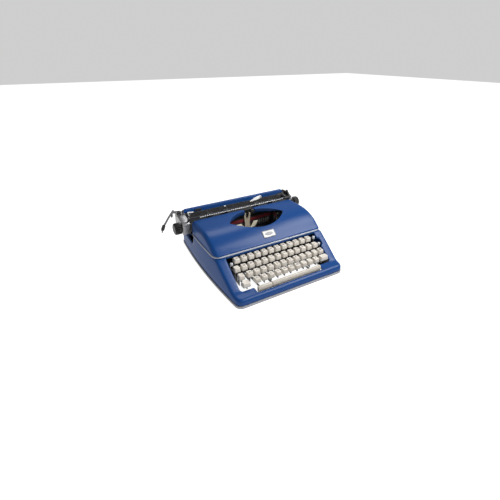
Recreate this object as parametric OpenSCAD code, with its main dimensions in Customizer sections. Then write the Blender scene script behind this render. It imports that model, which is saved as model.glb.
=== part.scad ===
// Portable manual typewriter, built as an assembly of separate pieces.
// Millimetres. X to the typist's right, Y to the back, Z up.
// The origin is on the table, under the middle of the base.

/* [Body] */
// Width of the base at its widest
body_w = 322; // [321:0.5:323]
// Depth of the base, front to back
body_d = 358.5; // [358:0.5:359]
// How far the grey rim stands out from the housing
rim_step = 1.2; // [1:0.1:1.4]
// Height of the grey base rim
rim_h = 6; // [5.5:0.1:6]
// Wall thickness of the painted shells
wall = 2.5; // [2:0.1:2.8]

/* [Hood] */
// How far the ends of the hood stand in from the sides of the housing
hood_in = 0; // [0:0.1:0.6]
// Half length of the almond window, tip to middle
win_x = 80; // [74:1:82]
// Front edge of the window on the centre line
win_front = -37; // [-38:1:-30]
// Rear edge of the window on the centre line
win_rear = 55; // [50:1:55]
// Height of the hood hinge axis
hinge_z = 105.5; // [105.3:0.1:105.6]
// Radius of the hood hinge pins
hinge_r = 2; // [1.8:0.1:2.2]

/* [Keyboard] */
// Distance from key to key along a row
pitch = 19; // [18.9:0.05:19.05]
// Key cap width at its foot
cap_w = 15.4; // [14:0.1:15.5]
// Key cap width at its top
cap_top = 13.2; // [12:0.1:13.6]
// Key cap height
cap_h = 11; // [10:0.5:11]
// Thickness of a key lever
lever_t = 1.5; // [1.2:0.1:1.6]
// Radius of the shaft that the key levers turn on
shaft_r = 3; // [2.8:0.1:3.2]

/* [Carriage] */
// Radius of the platen
platen_r = 17; // [16:0.5:17]
// Half length of the platen
platen_x = 155; // [150:1:155]
// Radius of the platen knobs
knob_r = 15.5; // [14.5:0.5:16]
// Number of flutes on a knob
flutes = 22; // [12:1:26]
// Length of the carriage return lever from its pivot
lever_len = 119; // [114:1:120]

/* [Hidden] */
$fn = 48;

blue = [0.14, 0.31, 0.60];
cream = [0.85, 0.82, 0.77];
steel = [0.62, 0.63, 0.66];
dark = [0.12, 0.12, 0.13];

// key lever shaft, platen axis, bail pivot, hood hinge and feed roller axis, as [y, z]
shaft = [58, 44];
pl = [88, 89];
bail_p = [108, 104];
hinge = [57, hinge_z];
feed_a = 60;
feed_r = 4;
feed = [pl[0] + (17.3 + feed_r) * cos(feed_a), pl[1] - (17.3 + feed_r) * sin(feed_a)];
// the sides of the body: bow radius, lean, front and rear of the rim
bow_r = 1605;
flare = 2.2;
side_x = body_w / 2;
front_y = -183;
rear_y = body_d + front_y;
// height of the housing's upper edge, where the trim lies
edge_z = 74.3;
// where a foot stands
foot = [135.2, 164.7];
// front edge of the rear deck
deck_y = 126;
// running clearance of a shaft in its bore
run = 0.05;
// room between a cap and the lever it is seated on
seat = 0.04;

// rows: [y, height of the cap tops]
rows = [[-85.4, 68.7], [-104.2, 57.6], [-122.9, 47.8], [-141.5, 40.2]];
function key_x(u) = pitch * (u - 5.5);
row_u = [[for (i = [0:11]) i],
         [for (i = [-0.5:1:11.5]) if (i != 5.5) i],
         [for (i = [0:11]) i + 0.75],
         [for (i = [0:9]) i + 1.25]];
// where the levers of the other keys run
lock_lx = -118.5;
shift_l_lx = key_x(-0.25);
shift_r_lx = key_x(11.25);
margin_lx = -123.4;
back_lx = 124;
ribbon_lx = 131.5;
space_lx = [pitch * -2.125, pitch * 3.875];
repeat_lx = pitch * -3.875;
all_lx = concat([for (r = [0:3]) for (u = row_u[r]) key_x(u)],
  [0, lock_lx, shift_l_lx, shift_r_lx, margin_lx, back_lx, ribbon_lx, repeat_lx], space_lx);

// smooth curve through a list of points
function cr(a, b, c, d, t) = 0.5 * (2 * b + (c - a) * t + (2 * a - 5 * b + 4 * c - d) * t * t
  + (3 * b - a - 3 * c + d) * t * t * t);
function at(p, i) = p[max(0, min(len(p) - 1, i))];
function curve(p, n) = [for (i = [0:len(p) - 2]) for (k = [0:n - 1])
  cr(at(p, i - 1), p[i], p[i + 1], at(p, i + 2), k / n), p[len(p) - 1]];
// the same curve moved inwards by d
function inset(p, d) = [for (i = [0:len(p) - 1]) let (t = at(p, i + 1) - at(p, i - 1))
  p[i] + d * [t[1], -t[0]] / norm(t)];

hood_top = curve([[-77, 79.7], [-66, 87], [-55, 95.6], [-41, 103], [-28, 108], [-14, 111.3],
  [2, 113], [22, 113.4], [44, 113], [62, 112.6]], 4);

// ---- building blocks -------------------------------------------------------------

module rrect(w, d, r) {
  square([w - 2 * r, d], center = true);
  square([w, d - 2 * r], center = true);
  for (x = [-1, 1], y = [-1, 1]) translate([x * (w / 2 - r), y * (d / 2 - r)]) circle(r);
}
// a plan with rounded corners whose sides are left open for the bow
module corner_plan(side, yf, yr, rc) {
  xf = sqrt((bow_r - rc) * (bow_r - rc) - (yf - rc) * (yf - rc)) - bow_r + side;
  xr = sqrt((bow_r - rc) * (bow_r - rc) - (yr - rc) * (yr - rc)) - bow_r + side;
  translate([-200, rc - yf]) square([400, yf + yr - 2 * rc]);
  translate([-xf, -yf]) square([2 * xf, yf]);
  translate([-xr, 0]) square([2 * xr, yr]);
  for (s = [-1, 1]) {
    translate([s * xf, rc - yf]) circle(rc);
    translate([s * xr, yr - rc]) circle(rc);
  }
}
// the same plan with its bowed sides
module plan(side, yf, yr, rc) intersection() {
  corner_plan(side, yf, yr, rc);
  translate([bow_r - side, 0]) circle(bow_r, $fn = 240);
  translate([side - bow_r, 0]) circle(bow_r, $fn = 240);
}
// everything inside the leaning, bowed side s of the body, moved inwards by d
module side_drum(s, d) translate([s * (side_x - d), 0, 0]) rotate([0, -s * flare, 0])
  translate([-s * bow_r, 0, -40]) cylinder(r = bow_r, h = 220, $fn = 240);
module box(a, b) translate(a) cube(b - a);
module xcyl(r, x0, x1, c) translate([x0, c[0], c[1]]) rotate([0, 90, 0]) cylinder(r = r, h = x1 - x0);
module ycyl(r, y0, y1, x, z) translate([x, y0, z]) rotate([-90, 0, 0]) cylinder(r = r, h = y1 - y0);
// a plate of outline p, given as [y, z], from x0 to x1
module plate(p, x0, x1) translate([x0, 0, 0]) rotate([90, 0, 90]) linear_extrude(x1 - x0) polygon(p);

module cap(x, y, z, w, d, h) {
  s = (cap_w - cap_top) / 2;
  intersection() {
    translate([x, y + d, z - h]) rotate([90, 0, 0]) linear_extrude(2 * d)
      polygon([[-w / 2, 0], [w / 2, 0], [w / 2 - s, h], [s - w / 2, h]]);
    plate([[y - d / 2, z - h], [y + d / 2, z - h], [y + d / 2 - s, z], [y + s - d / 2, z]],
      x - w, x + w);
  }
}
// a key lever at x, with its stem under a key at y, up to height z
module lever(x, y, z, half = 3.5) difference() {
  union() {
    plate([[52, 39], [62, 40], [62, 46], [54, 49.5], [20, 34], [y + half, 27], [y + half, z],
      [y - half, z], [y - half, 20], [20, 26]], x - lever_t / 2, x + lever_t / 2);
    xcyl(6, x - lever_t / 2, x + lever_t / 2, shaft);
  }
  xcyl(shaft_r + run, x - 3, x + 3, shaft);
}
// an arm of the space bars: it runs low, under the key caps
module low_arm(x) difference() {
  union() {
    plate([[52, 39], [62, 40], [62, 46], [54, 49.5], [20, 33], [-30, 15], [-150, 15], [-152, 22 - seat],
      [-168, 22 - seat], [-168, 15], [-155, 15], [-149, 9], [-32, 9], [20, 25]],
      x - lever_t / 2, x + lever_t / 2);
    xcyl(6, x - lever_t / 2, x + lever_t / 2, shaft);
  }
  xcyl(shaft_r + run, x - 3, x + 3, shaft);
}
module row_caps(r) for (u = row_u[r]) cap(key_x(u), rows[r][0], rows[r][1], cap_w, cap_w, cap_h);
module row_levers(r) for (u = row_u[r]) lever(key_x(u), rows[r][0], rows[r][1] - cap_h);
module small_key(x, y, z, lx) {
  color(cream) cap(x, y, z, 8.4, 8.4, 7);
  color(steel) lever(lx, y, z - 7 - seat, 2.5);
}

// ---- base and housing -------------------------------------------------------------

module base_rim() color([0.75, 0.75, 0.79]) difference() {
  union() {
    linear_extrude(rim_h) plan(side_x, -front_y, rear_y + rim_step, 17);
    // raised edge that the housing stands on
    linear_extrude(rim_h + 1.8) difference() {
      plan(side_x, -front_y, rear_y + rim_step, 17);
      plan(side_x - 4, -front_y - 4, rear_y + rim_step - 4, 13);
    }
  }
  translate([0, 0, -1]) linear_extrude(rim_h + 2) rrect(256, 315, 6);
  for (x = [-1, 1], y = [-1, 1]) translate([x * foot[0], y * foot[1], -1]) cylinder(r = 6, h = rim_h + 2);
}
module rubber_feet() color(dark) for (x = [-1, 1], y = [-1, 1]) translate([x * foot[0], y * foot[1], 0]) {
  cylinder(r = 6, h = rim_h);
  translate([0, 0, rim_h]) cylinder(r = 6.8, h = 1.5);
}
module shell_plan(d) corner_plan(side_x - rim_step - d, -front_y - rim_step - d, rear_y - d, 16 - d);
module lower_housing() color(blue) {
  hf = front_y + rim_step;
  foot_z = rim_h + 1.8;
  difference() {
    intersection() {
      plate([[hf, foot_z], [hf, 12.5], [hf + 0.8, 15.8], [hf + 3, 19], [hf + 6.5, 21.4], [hf + 12, 22.6],
        [-154, 24.5], [-80, 73.8], [-78, edge_z], [57, edge_z], [60, 62], [70, 45.5], [77, 44],
        [rear_y, 44], [rear_y, foot_z]], -170, 170);
      linear_extrude(120) shell_plan(0);
      side_drum(-1, rim_step);
      side_drum(1, rim_step);
    }
    // inside of the front, under the key deck
    intersection() {
      plate([[hf + wall, -1], [hf + wall, 13], [hf + wall + 1, 16], [hf + wall + 3.4, 18.4], [hf + 10, 20],
        [-152.8, 22], [-78.6, 71], [-74, 71.2], [-74, -1]], -170, 170);
      translate([0, 0, -2]) linear_extrude(120) shell_plan(wall);
      side_drum(-1, rim_step + wall);
      side_drum(1, rim_step + wall);
    }
    // open top behind it, and the bay under the rear deck
    intersection() {
      union() {
        box([-170, -74, -1], [170, deck_y, 120]);
        box([-170, deck_y - 1, -1], [170, rear_y - wall, 44 - wall]);
      }
      translate([0, 0, -2]) linear_extrude(140) shell_plan(wall);
      side_drum(-1, rim_step + wall);
      side_drum(1, rim_step + wall);
    }
    // key well, space-bar notch and the bay of the right-hand small key
    translate([0, -116.05, 0]) linear_extrude(120) rrect(260, 75.1, 6);
    translate([-1.5, -160, 0]) linear_extrude(120) rrect(187, 21, 3);
    translate([128, -103, 0]) linear_extrude(120) rrect(17.5, 18, 6);
    for (x = [-110, -40, 40, 110]) ycyl(2, rear_y - 6, rear_y + 6, x, 26);
  }
}
module housing_screws() color(steel) for (x = [-110, -40, 40, 110]) {
  ycyl(2, rear_y - 5, rear_y, x, 26);
  difference() {
    ycyl(3.6, rear_y, rear_y + 1.6, x, 26);
    translate([x - 3, rear_y + 0.9, 25.5]) cube([6, 2, 1]);
  }
}
module trim_strip() color([0.78, 0.78, 0.80]) translate([0, 0, edge_z + 0.02]) linear_extrude(4) difference() {
  plan(158.6, 79.5, 100, 20);
  plan(153.4, 74, 100, 15);
  translate([-200, 58.5]) square([400, 60]);
}

// ---- chassis ------------------------------------------------------------------------

module chassis_plates() color(steel) for (s = [-1, 1]) difference() {
  union() {
    plate([[-150, rim_h], [-150, 13], [-72, 17], [-20, 50], [45, 60], [53, 63], [53, hinge_z],
      [61, hinge_z], [61, 60], [70, 52], [103, 46], [104, 50], [120, 50], [121, 44], [150, 20],
      [150, rim_h]], s * 137.5 - 1.5, s * 137.5 + 1.5);
    xcyl(4, s * 137.5 - 1.5, s * 137.5 + 1.5, hinge);
  }
  xcyl(hinge_r, s * 137.5 - 3, s * 137.5 + 3, hinge);
  xcyl(shaft_r, s * 137.5 - 3, s * 137.5 + 3, shaft);
}
module key_comb() color(steel) difference() {
  box([-136, 14, 15], [136, 18, 42]);
  for (x = all_lx) box([x - lever_t / 2 - 0.4, 13, 18], [x + lever_t / 2 + 0.4, 19, 50]);
}
module key_lever_shaft() color(steel) xcyl(shaft_r, -139, 139, shaft);
module carriage_rail() color(steel) difference() {
  union() {
    box([-142, 106, 50], [142, 118, 58]);
    box([12, 104, 44], [28, 106, 58]);
    box([-112, 118, 18], [-88, 121, 58]);
  }
  box([-150, 110, 54], [150, 114, 60]);
  ycyl(2 + run, 100, 110, 20, 52.3);
  ycyl(3 + run, 115, 124, -100, 25);
}
module cover_hinge_pins() color(steel) for (s = [-1, 1]) {
  xcyl(hinge_r, s > 0 ? 136 : -146.6, s > 0 ? 146.6 : -136, hinge);
  xcyl(3.2, s > 0 ? 134.5 : -136, s > 0 ? 136 : -134.5, hinge);
}
module mainspring_drum() color([0.45, 0.45, 0.47]) {
  difference() {
    ycyl(14, 122, 136, -100, 25);
    ycyl(11, 134, 137, -100, 25);
  }
  ycyl(3, 118.5, 122.5, -100, 25);
  ycyl(5, 133.5, 137, -100, 25);
}
module escapement_wheel() color([0.70, 0.60, 0.35]) {
  n = 20;
  translate([20, 102.2, 52.3]) rotate([90, 0, 0]) linear_extrude(1.8) polygon([for (i = [0:n - 1])
    for (k = [0, 1]) (k == 0 ? 8.5 : 7) * [cos(360 * (i + k * 0.85) / n), sin(360 * (i + k * 0.85) / n)]]);
  ycyl(6, 94, 100.4, 20, 52.3);
  ycyl(2, 92, 105.9, 20, 52.3);
}

// ---- type basket and ribbon ------------------------------------------------------------

// the printing point and the window's middle are a little to the right
win_c = 5;
fan = [for (i = [-13:13]) if (abs(i) > 1) i * 5];
module type_segment() translate([win_c, 0, 0]) {
  color([0.40, 0.40, 0.42]) {
    difference() {
      translate([0, 56, 52.5]) linear_extrude(3.5) difference() {
        circle(31);
        circle(18);
        translate([-40, -6]) square([80, 60]);
      }
      box([-1.2, 20, 50], [1.2, 34, 60]);
    }
    for (s = [-1, 1]) difference() {
      box([s * 1.9 - 0.7, 27, 56], [s * 1.9 + 0.7, 33, 61]);
      xcyl(1 + run, s * 1.9 - 2, s * 1.9 + 2, [30, 58]);
    }
  }
  color(steel) xcyl(1, -2.6, 2.6, [30, 58]);
}
module typebars() color([0.35, 0.35, 0.37]) for (a = fan) translate([win_c, 56, 58]) rotate([0, 0, a]) {
  translate([-0.7, -78, -2]) cube([1.4, 57.5, 4]);
  translate([-1.6, -80, -2]) cube([3.2, 5, 6]);
}
module centre_typebar() color([0.35, 0.35, 0.37]) translate([win_c, 0, 0]) difference() {
  union() {
    box([-0.7, -22, 56], [0.7, 30, 60]);
    box([-1.6, -24, 56], [1.6, -19, 62]);
    xcyl(3, -0.7, 0.7, [30, 58]);
  }
  xcyl(1 + run, -3, 3, [30, 58]);
}
module type_guide() color([0.66, 0.63, 0.56]) {
  box([-136, 50, 52], [136, 53, 60]);
  for (s = [-1, 1]) translate([win_c + s * 6.6, 0, 0]) {
    box([-2.6, 53, 56], [2.6, 55, 60]);
    plate([[55, 56], [57, 56], [60, 70], [60, 103], [58, 103], [58, 71], [55, 60]], -2.6, 2.6);
    box([-2.6, 59, 99], [2.6, 63, 103]);
  }
  // head of the guide, behind the ribbon
  box([-2.5, 62.4, 99], [20.5, 65.2, 111]);
}
module ribbon_guides() color(cream) {
  for (s = [-1, 1]) {
    box([s * 87 - 3, 53, 56], [s * 87 + 3, 60, 58]);
    box([s * 87 - 3, 58, 58], [s * 87 + 3, 60, 100]);
    // outer post
    box([s * 99 - 1.8, 48, 52], [s * 99 + 1.8, 50, 86]);
  }
  // slanted brackets on the bar
  translate([0, 52.4, 0]) rotate([90, 0, 0]) linear_extrude(2) {
    polygon([[12, 60], [25, 60], [35.5, 77], [21, 77]]);
    polygon([[-2, 60], [-20, 60], [-33, 77], [-18, 77]]);
  }
}
rib = [[-87, 22.4], [-92, 61.4], [92, 61.4], [87, 22.4]];
module ribbon() color([0.47, 0.08, 0.14]) translate([0, 0, 85 - spool_low]) linear_extrude(13)
  for (i = [0:2]) let (d = rib[i + 1] - rib[i]) translate(rib[i]) rotate(atan2(d[1], d[0]))
    translate([0, -0.25]) square([norm(d), 0.5]);
// how far the spools and the ribbon lie below the top of their room
spool_low = 6;
module spool_cups() color(dark) for (s = [-1, 1]) translate([s * 92, 4, -spool_low]) {
  difference() {
    translate([0, 0, 80]) cylinder(r = 26, h = 12);
    translate([0, 0, 81.5]) cylinder(r = 24.5, h = 12);
    rotate([0, 0, s > 0 ? 100 : 80]) translate([14, -12, 82]) cube([20, 24, 20]);
  }
  translate([0, 0, 80]) cylinder(r = 3, h = 24);
  box([s > 0 ? 24 : -44, -6, 80], [s > 0 ? 44 : -24, 6, 81.5]);
  box([s > 0 ? 42 : -44, -6, 50], [s > 0 ? 44 : -42, 6, 80]);
}
module spool(s) color(dark) translate([s * 92, 4, -spool_low]) difference() {
  union() {
    translate([0, 0, 82]) cylinder(r = 22, h = 1.5);
    translate([0, 0, 83.5]) cylinder(r = 16.5, h = 15.5);
    translate([0, 0, 99]) cylinder(r = 22, h = 1.5);
  }
  translate([0, 0, 80]) cylinder(r = 3 + run, h = 30);
  for (a = [0:60:300]) rotate([0, 0, a]) translate([10, 0, 98]) cylinder(r = 2.5, h = 4);
}
module ribbon_spool_left() spool(-1);
module ribbon_spool_right() spool(1);

// ---- hood -------------------------------------------------------------------------------

badge_c = [2.5, -58.2, 93.3];
badge_a = 37.5;
module badge_block(w, d, z0, z1) translate(badge_c) rotate([badge_a, 0, 0])
  translate([0, 0, z0]) linear_extrude(z1 - z0) rrect(w, d, 2.5);
module top_cover() color(blue) {
  in_top = inset(hood_top, wall);
  ra = (win_x * win_x + (3 - win_front) * (3 - win_front)) / (2 * (3 - win_front));
  rb = (win_x * win_x + (win_rear - 3) * (win_rear - 3)) / (2 * (win_rear - 3));
  difference() {
    union() {
      difference() {
        intersection() {
          plate(concat(hood_top, [[64, 111.5], [64, 80]]), -170, 170);
          side_drum(-1, rim_step + hood_in);
          side_drum(1, rim_step + hood_in);
        }
        intersection() {
          plate(concat([[-73, 60]], [for (p = in_top) if (p[0] > -76) p], [[70, 109.9], [70, 60]]), -170, 170);
          side_drum(-1, rim_step + hood_in + wall);
          side_drum(1, rim_step + hood_in + wall);
        }
      }
      for (s = [-1, 1]) {
        xcyl(4, s * 144.5 - 1.5, s * 144.5 + 1.5, hinge);
        box([s * 144.5 - 1.5, hinge[0] - 4, hinge_z], [s * 144.5 + 1.5, hinge[0] + 4, 111]);
      }
    }
    for (s = [-1, 1]) xcyl(hinge_r + run, s * 144.5 - 3, s * 144.5 + 3, hinge);
    // almond window and the gap at the printing point
    translate([0, 0, 86]) linear_extrude(40) intersection() {
      translate([win_c, win_front + ra]) circle(ra, $fn = 96);
      translate([win_c, win_rear - rb]) circle(rb, $fn = 96);
    }
    box([-6, 48, 96], [24, 80, 130]);
    badge_block(36, 20, -0.4, 6);
  }
}
module badge_plate() color([0.86, 0.86, 0.86]) badge_block(35.4, 19.4, -0.4, 1.2);

// ---- carriage -----------------------------------------------------------------------------

module carriage_frame() color([0.30, 0.30, 0.32]) difference() {
  union() {
    box([-163, 92, 62], [163, 126, 66]);
    box([-34, 110.4, 54.5], [34, 113.6, 62]);
    box([-130, 94, 58.6], [130, 100, 62]);
    for (s = [-1, 1]) plate([[77.4, 73.5], [77.4, 96.5], [78.5, 99.4], [80.6, 101.8], [85, 104], [122, 112.1], [128, 106],
      [128, 62], [92, 62], [90, 73.5]], s * 161.5 - 1.5, s * 161.5 + 1.5);
    // paper deflector behind the platen, and the paper guide on the table
    table_frame() box([-140, -1.2, 2], [140, 0, 30]);
    table_frame() box([-126, -2.6, 32], [-108, 0, 37.5]);
  }
  for (s = [-1, 1]) {
    xcyl(4 + run, s * 161.5 - 3, s * 161.5 + 3, pl);
    xcyl(2 + run, s * 161.5 - 3, s * 161.5 + 3, feed);
    xcyl(2 + run, s * 161.5 - 3, s * 161.5 + 3, bail_p);
  }
}
cheek = [[75, 73], [75, 97], [76, 101], [79, 104.3], [84, 106.6], [130, 116.6], [136, 115], [139, 110],
  [139, 73], [135, 69.5], [79, 69.5]];
cheek_in = [[77, 73.8], [77, 96.8], [78, 100], [80, 102.4], [84.6, 104.6], [130, 114.5], [134.8, 113.2],
  [137, 109.6], [137, 73.8], [134.2, 71.5], [79.8, 71.5]];
module cheek_shell(s) difference() {
  union() {
    plate(cheek, s > 0 ? 163 : -176, s > 0 ? 176 : -163);
    // front and top carried over the end plate
    plate([[75, 73], [75, 97], [76, 101], [79, 104.3], [84, 106.6], [130, 116.6], [130, 114.5], [84.6, 104.6],
      [80, 102.4], [78, 100], [77, 96.8], [77, 73]], s > 0 ? 155.8 : -163.5, s > 0 ? 163.5 : -155.8);
  }
  plate(cheek_in, s > 0 ? 150 : -174, s > 0 ? 174 : -150);
  xcyl(6, s > 0 ? 168 : -190, s > 0 ? 190 : -168, pl);
}
lev_p = [-169.5, 118];
module end_cover_left() color([0.66, 0.66, 0.67]) difference() {
  union() {
    cheek_shell(-1);
    translate([lev_p[0], lev_p[1], 111]) cylinder(r = 6, h = 6.5);
  }
  translate([lev_p[0], lev_p[1], 100]) cylinder(r = 3 + run, h = 30);
}
rel_p = [112, 117.2];
module end_cover_right() color([0.66, 0.66, 0.67]) {
  cheek_shell(1);
  for (x = [165, 173.6]) difference() {
    plate([[107, 111], [107, 118.2], [109, 121.2], [115, 121.2], [117, 118.2], [117, 113]], x, x + 2.4);
    xcyl(1.5 + run, x - 1, x + 4, rel_p);
  }
  // bright tab at the front of the cover
  box([166.5, 80, 103.6], [171, 82.4, 114]);
}
module paper_release_lever() color(dark) {
  plate([[115, 115.4], [115, 119.2], [110, 120.2], [100, 116.7], [92, 112.2], [90, 110.2], [91, 108.6], [94, 109.6],
    [101, 113.5], [108, 114.7]], 168, 173);
  xcyl(1.5, 165.2, 175.8, rel_p);
}
module line_scale() color([0.80, 0.80, 0.80]) {
  box([-160, 69, 115.4], [160, 70.8, 119.6]);
  for (s = [-1, 1]) plate([[70.8, 115.4], [70.8, 119.6], [75, 116], [84, 108.6], [84, 106.6], [79, 104.3]],
    s * 158.5 - 1.5, s * 158.5 + 1.5);
}
lean = 9.96;
module table_frame() translate([0, 108, 84]) rotate([-lean, 0, 0]) children();
module paper_table() color(blue) difference() {
  union() {
    plate([[108, 66], [110.6, 66], [110.6, 84.3], [108, 84.3]], -146, 146);
    table_frame() translate([0, 1.3, 21.2]) rotate([90, 0, 0]) linear_extrude(2.6, center = true) rrect(292, 42.4, 8);
    table_frame() translate([-146, 0, 0]) cube([292, 2.6, 20]);
    // the upper band is wider
    table_frame() translate([0, 1.3, 37]) rotate([90, 0, 0]) linear_extrude(2.6, center = true) rrect(314, 10.8, 4);
  }
  table_frame() translate([arm_p[0], -4, arm_p[1]]) rotate([-90, 0, 0]) cylinder(r = 1.5 + run, h = 12);
}
// pivot of the paper arm on the table, as [x, height along the table]
arm_p = [77.5, 33.5];
module paper_support_arm() color([0.90, 0.90, 0.90]) table_frame() translate([arm_p[0], 0, arm_p[1]]) {
  rotate([-90, 0, 0]) translate([0, 0, -1.7]) cylinder(r = 1.5, h = 5.3);
  rotate([0, -11, 0]) translate([0, -1.6, 0]) rotate([90, 0, 0]) linear_extrude(1.6) {
    circle(4);
    polygon([[0, -4], [0, 4], [-13, 5], [-34, 0.9], [-36, -0.3], [-34, -1.4], [-16, -4.3]]);
  }
}
module margin_rack() color(steel) difference() {
  box([-160, 121, 96], [160, 124, 102]);
  for (x = [-140:6:140]) box([x - 1, 120, 100.5], [x + 1, 125, 104]);
}
module margin_stop(x) color(dark) difference() {
  box([x - 5, 118.4, 92], [x + 5, 127, 107]);
  box([x - 6, 120.6, 95.6], [x + 6, 124.4, 102.4]);
}
module margin_stop_left() margin_stop(-95);
module margin_stop_right() margin_stop(95);

module platen() color(dark) difference() {
  xcyl(platen_r, -platen_x, platen_x, pl);
  xcyl(4, -platen_x - 1, platen_x + 1, pl);
}
module platen_shaft() color(steel) xcyl(4, -187, 187, pl);
module knob(s) color(dark) difference() {
  union() {
    xcyl(knob_r, s > 0 ? 178.6 : -195, s > 0 ? 195 : -178.6, pl);
    xcyl(knob_r - 2, s > 0 ? 178 : -196.5, s > 0 ? 196.5 : -178, pl);
  }
  xcyl(4, s > 0 ? 176 : -187, s > 0 ? 187 : -176, pl);
  for (i = [0:flutes - 1]) xcyl(1.2, s > 0 ? 176 : -198, s > 0 ? 198 : -176,
    pl + (knob_r + 0.3) * [cos(360 * i / flutes), sin(360 * i / flutes)]);
}
module platen_knob_left() knob(-1);
module platen_knob_right() knob(1);
module line_space_ratchet() color(steel) difference() {
  n = 24;
  plate([for (i = [0:n - 1]) for (k = [0, 1]) pl + (k == 0 ? 9.6 : 8)
    * [cos(360 * (i + k * 0.8) / n), sin(360 * (i + k * 0.8) / n)]], -171, -166);
  xcyl(4, -180, -160, pl);
}
module feed_rollers() color(dark) {
  xcyl(2, -162.8, 162.8, feed);
  for (x = [-112, -40, 40, 112]) xcyl(feed_r, x - 22, x + 22, feed);
}
rod = [84.5, 111.1];
module paper_bail() color(dark) {
  xcyl(2, -154, 154, rod);
  for (s = [-1, 1]) {
    plate([[106, 101.6], [110, 102], [110.5, 106], [97, 110], [87, 113.2], [82.5, 112.7], [82, 109.6],
      [85, 108.6], [96, 106.2]], s * 153 - 1.2, s * 153 + 1.2);
    xcyl(2, s > 0 ? 153 : -162.8, s > 0 ? 162.8 : -153, bail_p);
  }
}
module bail_rollers() color(dark) for (x = [-96, -48, 48, 96]) difference() {
  xcyl(5, x - 8, x + 8, rod);
  xcyl(2, x - 9, x + 9, rod);
}
// return lever: its bar runs past the hub and points forward and to the left at rest
lev_dir = 240.3;
module lever_bar() polygon([[-13, -18.6], [-12, -15], [0, -14.8], [30, -16.6], [60, -17.4], [80, -17.9],
  [lever_len - 16, -16.6], [lever_len - 1, -15.7], [lever_len, -16.6], [lever_len - 1, -17.5], [lever_len - 16, -20.2],
  [80, -22.1], [60, -22.2], [30, -21.4], [0, -19.8]]);
module return_lever() color(steel) translate([lev_p[0], lev_p[1], 0]) {
  translate([0, 0, 108]) cylinder(r = 3, h = 11);
  translate([0, 0, 118]) cylinder(r = 6, h = 4.6);
  rotate([0, 0, lev_dir]) translate([0, 0, 119.4]) linear_extrude(2.6) {
    lever_bar();
    polygon([[-4.5, 0], [-6, -17], [9, -17], [4.5, 0]]);
  }
}
module return_lever_grip() color(dark) translate([lev_p[0], lev_p[1], 0]) rotate([0, 0, lev_dir]) difference() {
  translate([0, 0, 118.2]) linear_extrude(5) translate([lever_len - 28, -19.8]) rotate(5) rrect(28, 8, 3.4);
  translate([0, 0, 119.4]) linear_extrude(2.6) lever_bar();
}

// ---- keyboard ---------------------------------------------------------------------------------

module keytops_row_1() color(cream) row_caps(0);
module keytops_row_2() color(cream) row_caps(1);
module keytops_row_3() color(cream) row_caps(2);
module keytops_row_4() color(cream) row_caps(3);
module key_levers_row_1() color(dark) row_levers(0);
module key_levers_row_2() color(dark) row_levers(1);
module key_levers_row_3() color(dark) row_levers(2);
module key_levers_row_4() color(dark) row_levers(3);
module centre_key() {
  color(cream) cap(0, rows[1][0], rows[1][1], cap_w, cap_w, cap_h);
  color(dark) lever(0, rows[1][0], rows[1][1] - cap_h - seat);
}
module shift_key_left() {
  color(cream) cap(-111, -143.5, 39.6, 20, cap_w, cap_h);
  color(dark) lever(shift_l_lx, -143.5, 39.6 - cap_h - seat);
}
module shift_key_right() {
  color(cream) cap(114.5, -142, 40.2, 23, cap_w, cap_h);
  color(dark) lever(shift_r_lx, -142, 40.2 - cap_h - seat);
}
module shift_lock_key() {
  color(cream) cap(-112.5, -123.4, 47.6, cap_w, cap_w, cap_h);
  color(dark) lever(lock_lx, -123.4, 47.6 - cap_h - seat);
}
module margin_release_key() small_key(-120, -89.5, 62, margin_lx);
module backspace_key() small_key(124.3, -86.5, 66.5, back_lx);
module ribbon_selector_key() small_key(130.5, -103, 54, ribbon_lx);
bar_prof = [[-169, 22], [-161, 22], [-161, 30.5], [-162, 32.4], [-164, 33], [-166.4, 32.4], [-168.2, 30]];
module space_bar() {
  color(cream) plate(bar_prof, -53.6, 87);
  for (x = space_lx) color(dark) low_arm(x);
}
module repeat_bar() {
  color(cream) plate(bar_prof, -91.5, -54.6);
  color(dark) low_arm(repeat_lx);
}

// ---- what is drawn ------------------------------------------------------------------------------

base_rim();
rubber_feet();
lower_housing();
trim_strip();
chassis_plates();
key_comb();
key_lever_shaft();
carriage_rail();
cover_hinge_pins();
type_segment();
typebars();
type_guide();
ribbon();
ribbon_guides();
spool_cups();
housing_screws();
top_cover();
badge_plate();
carriage_frame();
end_cover_left();
end_cover_right();
line_scale();
paper_table();
margin_rack();
platen();
platen_shaft();
platen_knob_left();
platen_knob_right();
line_space_ratchet();
return_lever();
return_lever_grip();
paper_bail();
bail_rollers();
paper_support_arm();
paper_release_lever();
feed_rollers();
margin_stop_left();
margin_stop_right();
keytops_row_1();
keytops_row_2();
keytops_row_3();
keytops_row_4();
key_levers_row_1();
key_levers_row_2();
key_levers_row_3();
key_levers_row_4();
centre_key();
centre_typebar();
shift_key_left();
shift_key_right();
shift_lock_key();
margin_release_key();
backspace_key();
ribbon_selector_key();
space_bar();
repeat_bar();
ribbon_spool_left();
ribbon_spool_right();
mainspring_drum();
escapement_wheel();
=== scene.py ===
import math

import bmesh
import bpy
import numpy as np
from mathutils import Matrix, Vector
from mathutils.geometry import delaunay_2d_cdt


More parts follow.
